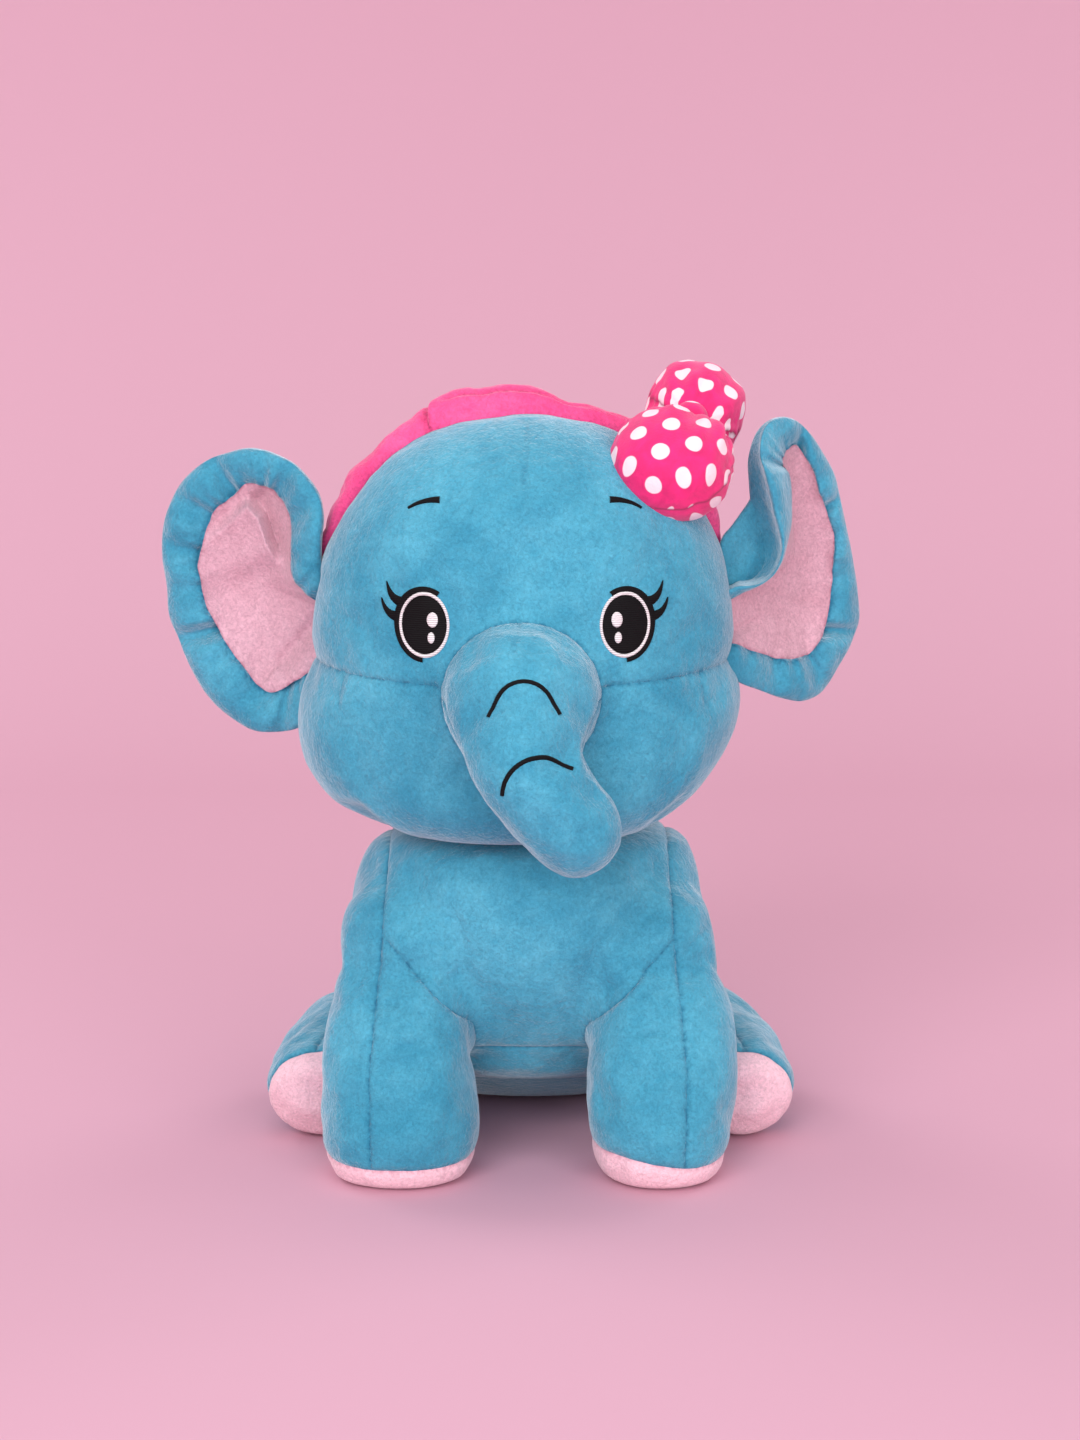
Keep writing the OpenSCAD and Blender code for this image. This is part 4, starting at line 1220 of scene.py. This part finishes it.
def make_loop(name, rows, along, face, nodes, seed):
    rings, count = 120, 160
    r = spline(rows, np.linspace(0, len(rows) - 1, rings))
    a = np.arange(count) * 2 * math.pi / count
    c, s = np.cos(a), np.sin(a)
    x = np.repeat(r[:, 0:1], count, 1)
    y = r[:, 1:2] * np.sign(c) * np.abs(c) ** 0.9
    z = r[:, 2:3] * np.sign(s) * np.abs(s) ** 0.95
    gather = np.exp(-((x - 7) / 12) ** 2)
    folds = np.array([
        [noise.noise(Vector((math.cos(t) * 3.6, math.sin(t) * 3.6, seed + 0.03 * d))) for t in a]
        for d in r[:, 0]
    ])
    swell = 1 + 0.24 * gather * folds + 0.06 * folds
    z, y = z * swell, y * (1 + (swell - 1) * 0.6)
    pucker = np.array([noise.noise(Vector((d * 0.24, seed, 0))) for d in r[:, 0]])[:, None]
    edge = np.abs(c) ** 10
    y = y * (1 - 0.045 * edge - 0.04 * pucker * np.abs(c) ** 6)
    z = z + 1.5 * pucker * np.abs(c) ** 8
    grid = np.stack([x, y, z], -1)
    loop = new_object(name, placed(grid.reshape(-1, 3), along, face), grid_faces(rings, count))
    cloth_layout(loop, grid, count)
    # The loop's side edges are darkened: the edge seam and painted shade in it.
    seam = 0.8 * np.exp(-((np.abs(s) * r[:, 1:2] / 0.8) ** 1.5)) * np.ones_like(x)
    mark(loop, seam.ravel())
    finish_piece(loop, "dotted", "bow", nodes)


make_loop("bow_front_cloth", FRONT_LOOP, (-0.34, -0.66, -0.70), (-0.12, -0.70, 0.70),
          ["bow_loop_front", "bow_stuffing_front"], 2.0)
make_loop("bow_rear_cloth", REAR_LOOP, (0.12, 0.98, 0.05), (0.35, -0.25, 0.9),
          ["bow_loop_rear", "bow_stuffing_rear"], 6.0)

# Along the knot, radius
KNOT_ROWS = [[-7, 0.5], [-6.5, 5], [-4, 8], [0, 9], [4, 8], [6.5, 5], [7, 0.5]]
rings, count = 30, 48
r = spline(KNOT_ROWS, np.linspace(0, len(KNOT_ROWS) - 1, rings))
c, s = round_section(count)
grid = np.stack([np.repeat(r[:, 0:1], count, 1), r[:, 1:2] * c, r[:, 1:2] * s], -1)
points = placed(grid.reshape(-1, 3), (0.25, 0.9, 0.35), (0, -0.4, 0.9))
knot = new_object("bow_knot_cloth", points, grid_faces(rings, count))
cloth_layout(knot, grid, count)
mark(knot, np.zeros(len(knot.data.vertices)))
finish_piece(knot, "dotted", "bow", ["bow_knot"])

# ---------------------------------------------------------------- embroidery

def on_face(x, z):
    """The point of the face in front of (x, z) and the way out of it."""
    hit, normal, _, _ = head_tree.ray_cast(Vector((x, -300, z)), Vector((0, 1, 0)))
    if hit is None:
        raise ValueError(f"nothing in front at {x:.1f}, {z:.1f}")
    return np.array(hit), np.array(normal)


def patch(name, outline_rings, cloth, lift, nodes=(), open_middle=False):
    """A low dome or ring of stitches: nested closed outlines in (x, z), the outermost first."""
    points, count = [], len(outline_rings[0])
    for k, ring in enumerate(outline_rings):
        for x, z in ring:
            at, out = on_face(x, z)
            points.append(at + out * lift[k])
    faces = grid_faces(len(outline_rings), count)
    faces = faces[:-2] if open_middle else [*faces[:-2], faces[-1]]
    finish_piece(new_object(name, points, faces), cloth, "head", list(nodes))


def ellipse(cx, cz, rx, rz, count=64):
    a = np.arange(count) * 2 * math.pi / count
    return np.stack([cx + rx * np.cos(a), cz + rz * np.sin(a)], 1)


def dome(cx, cz, rx, rz, count=64):
    return [ellipse(cx, cz, rx * k, rz * k, count) for k in (1, 0.97, 0.85, 0.6, 0.3, 0.04)]


def ribbon(name, line, half_widths, height, find, nodes=(), body="head", bend=None):
    """A raised line of black stitches: points on the surface, their half widths and the way out of it."""
    line = np.array(line, float)
    d = unit(np.gradient(line, axis=0))
    sections = 7
    points = []
    for p, w, t in zip(line, half_widths, d):
        at, out = find(p)
        across = np.cross(t, out)
        across = across / np.linalg.norm(across)
        for k in range(sections):
            u = -1 + 2 * k / (sections - 1)
            spot, way = find(p + across * w * u)
            points.append(spot + way * (height * math.sqrt(max(1 - u * u, 0)) + 0.05))
    faces = []
    for i in range(len(line) - 1):
        for k in range(sections - 1):
            a = i * sections + k
            faces.append([a, a + 1, a + sections + 1, a + sections])
    finish_piece(new_object(name, points, faces), "black", body, list(nodes), bend=bend)


def find_face(p):
    return on_face(p[0], p[2])


def find_skin(p):
    at, normal, _, _ = head_tree.find_nearest(Vector(p))
    return np.array(at), np.array(normal)


# Middle between the eyes, heights of eyes and brows, how far each ring of stitches stands out of the face
EYE_X, EYE_Z, BROW_Z = -2.5, 279, 317
dome_lift = (0.0, 0.7, 0.95, 1.05, 1.1, 1.1)
for side, word in ((1, "left"), (-1, "right")):
    cx = EYE_X + side * 48.5
    ring = [ellipse(cx, EYE_Z, 10.9 * k, 14.2 * k) for k in (1.13, 1.115, 1.07, 1.02, 1.0)]
    patch(f"eye_ring_{word}_thread", ring, "white", (0.1, 0.8, 1.0, 0.8, 0.2),
          nodes=["eye_white_" + word], open_middle=True)
    patch(f"eye_black_{word}_thread", dome(cx, EYE_Z, 11.1, 14.4), "black", dome_lift,
          nodes=["eye_black_" + word])
    for n, (dx, dz, rx, rz) in enumerate(((-4.2, 2.5, 2.7, 3.8), (-3.6, -6.2, 1.7, 2.7))):
        patch(f"eye_glint_{n}_{word}_thread", dome(cx + side * dx, EYE_Z + dz, rx, rz, 32),
              "white", [v + 0.75 for v in dome_lift])
    # The lash line runs round the outer side of the eye, from the top to the bottom
    a = np.radians(np.linspace(-87, 120, 70))
    x, z = cx + side * 13.6 * np.cos(a), EYE_Z + 17.0 * np.sin(a)
    line = np.stack([x, np.zeros(70), z], 1)
    bold = 1.35 + 0.75 * np.exp(-(((np.degrees(a) - 42) / 38) ** 2))
    ribbon(f"lash_line_{word}_thread", line, bold, 0.9, find_face)
    for n, (root, bend_at, tip) in enumerate((
        ((11.5, 10.5), (17.2, 11.8), (18.5, 20.0)), ((13.2, 3.2), (19.6, 3.9), (21.0, 12.0)),
    )):
        t = np.linspace(0, 1, 20)[:, None]
        curve = (1 - t) ** 2 * np.array(root) + 2 * t * (1 - t) * np.array(bend_at) + t**2 * np.array(tip)
        line = np.stack([cx + side * curve[:, 0], np.zeros(20), EYE_Z + curve[:, 1]], 1)
        ribbon(f"lash_{n}_{word}_thread", line, 2.5 * (1 - t[:, 0]) ** 0.75 + 0.15, 0.8, find_face)
    a = np.radians(np.linspace(52, 92, 40))
    line = np.stack([EYE_X + side * (42 + 24 * np.cos(a)), np.zeros(40), BROW_Z + 21 * np.sin(a)], 1)
    ribbon(f"brow_{word}_thread", line, np.linspace(0.7, 2.0, 40), 0.9, find_face, nodes=["brow_" + word])

# How far along the trunk's rows each crease is, and how far it runs round the trunk, in degrees
CREASE_HALF_WIDTH = 1.15
for name, u, half_angle in (("upper", 4.5, 34), ("lower", 6.05, 44)):
    angles = np.radians(270 - np.linspace(-half_angle, half_angle, 60))
    t = np.linspace(-1, 1, 60)
    r = spline(trunk_rows, u + 1.0 + 0.75 * t**2)
    sideways, upwards = (v[1] for v in limb_axes(spline(trunk_rows, np.array([u + 0.9, u + 1.0, u + 1.1]))))
    wide, high = (r[:, 3] * np.cos(angles))[:, None], (r[:, 4] * np.sin(angles))[:, None]
    line = [find_skin(p)[0] for p in r[:, :3] + sideways * wide + upwards * high]
    ribbon(f"trunk_crease_{name}_thread", line, np.full(60, CREASE_HALF_WIDTH), 0.9, find_skin,
           nodes=["trunk_crease_" + name], body=("head", "trunk"), bend=TRUNK_BEND)

# ---------------------------------------------------------------- stage, light, camera

def plain(name, color):
    mat, _, bsdf = shader(name)
    constants(bsdf, Base_Color=color, Roughness=0.9, Specular_IOR_Level=0.1)
    return mat


def backdrop():
    """A floor that curves up into a wall behind the toy."""
    front, bend_at, bend_radius, top, half_width = -2.2, 0.9, 0.8, 3.2, 3.2
    profile = [(front, 0), (bend_at, 0)]
    for a in np.linspace(0.1, math.pi / 2, 16):
        profile.append((bend_at + bend_radius * math.sin(a), bend_radius - bend_radius * math.cos(a)))
    profile.append((1.7, top))
    points = [(x, y, z) for y, z in profile for x in (-half_width, half_width)]
    faces = [[2 * i, 2 * i + 1, 2 * i + 3, 2 * i + 2] for i in range(len(profile) - 1)]
    mesh = bpy.data.meshes.new("floor")
    mesh.from_pydata(points, [], faces)
    mesh.shade_smooth()
    mesh.materials.append(plain("floor", (0.63, 0.36, 0.455)))
    obj = bpy.data.objects.new("floor", mesh)
    scene.collection.objects.link(obj)


def area_light(name, place, aim, size, power, color=(1, 1, 1)):
    data = bpy.data.lights.new(name, "AREA")
    data.shape, data.size, data.energy, data.color = "DISK", size, power, color
    obj = bpy.data.objects.new(name, data)
    scene.collection.objects.link(obj)
    obj.location = place
    obj.rotation_euler = (Vector(aim) - Vector(place)).to_track_quat("-Z", "Y").to_euler()


backdrop()
area_light("key", (-0.8, -2.1, 1.25), (0, 0, 0.17), 1.6, 39)
area_light("fill", (1.1, -2.1, 0.7), (0, 0, 0.17), 1.6, 26)
area_light("top", (0, 0.1, 2.1), (0, 0, 0.1), 1.6, 8)
area_light("rim_left", (1.3, 1.0, 1.1), (0, 0, 0.2), 0.9, 7)
area_light("rim_right", (-1.3, 1.0, 1.1), (0, 0, 0.2), 0.9, 9)
world = bpy.data.worlds.new("room")
scene.world = world
world.use_nodes = True
world.node_tree.nodes["Background"].inputs[0].default_value = (1.0, 0.93, 0.96, 1)
world.node_tree.nodes["Background"].inputs[1].default_value = 0.55

camera = bpy.data.cameras.new("camera")
camera.lens, camera.sensor_width, camera.clip_start, camera.clip_end = 70, 36, 0.05, 20
eye = bpy.data.objects.new("camera", camera)
scene.collection.objects.link(eye)
distance, elevation = 1.44, math.radians(10)
target = Vector((np.array([4.9, 0, 218.75]) + SHIFT) * MM)
eye.location = target + distance * Vector((0, -math.cos(elevation), math.sin(elevation)))
eye.rotation_euler = (target - eye.location).to_track_quat("-Z", "Y").to_euler()
scene.camera = eye
scene.view_settings.view_transform = "Standard"
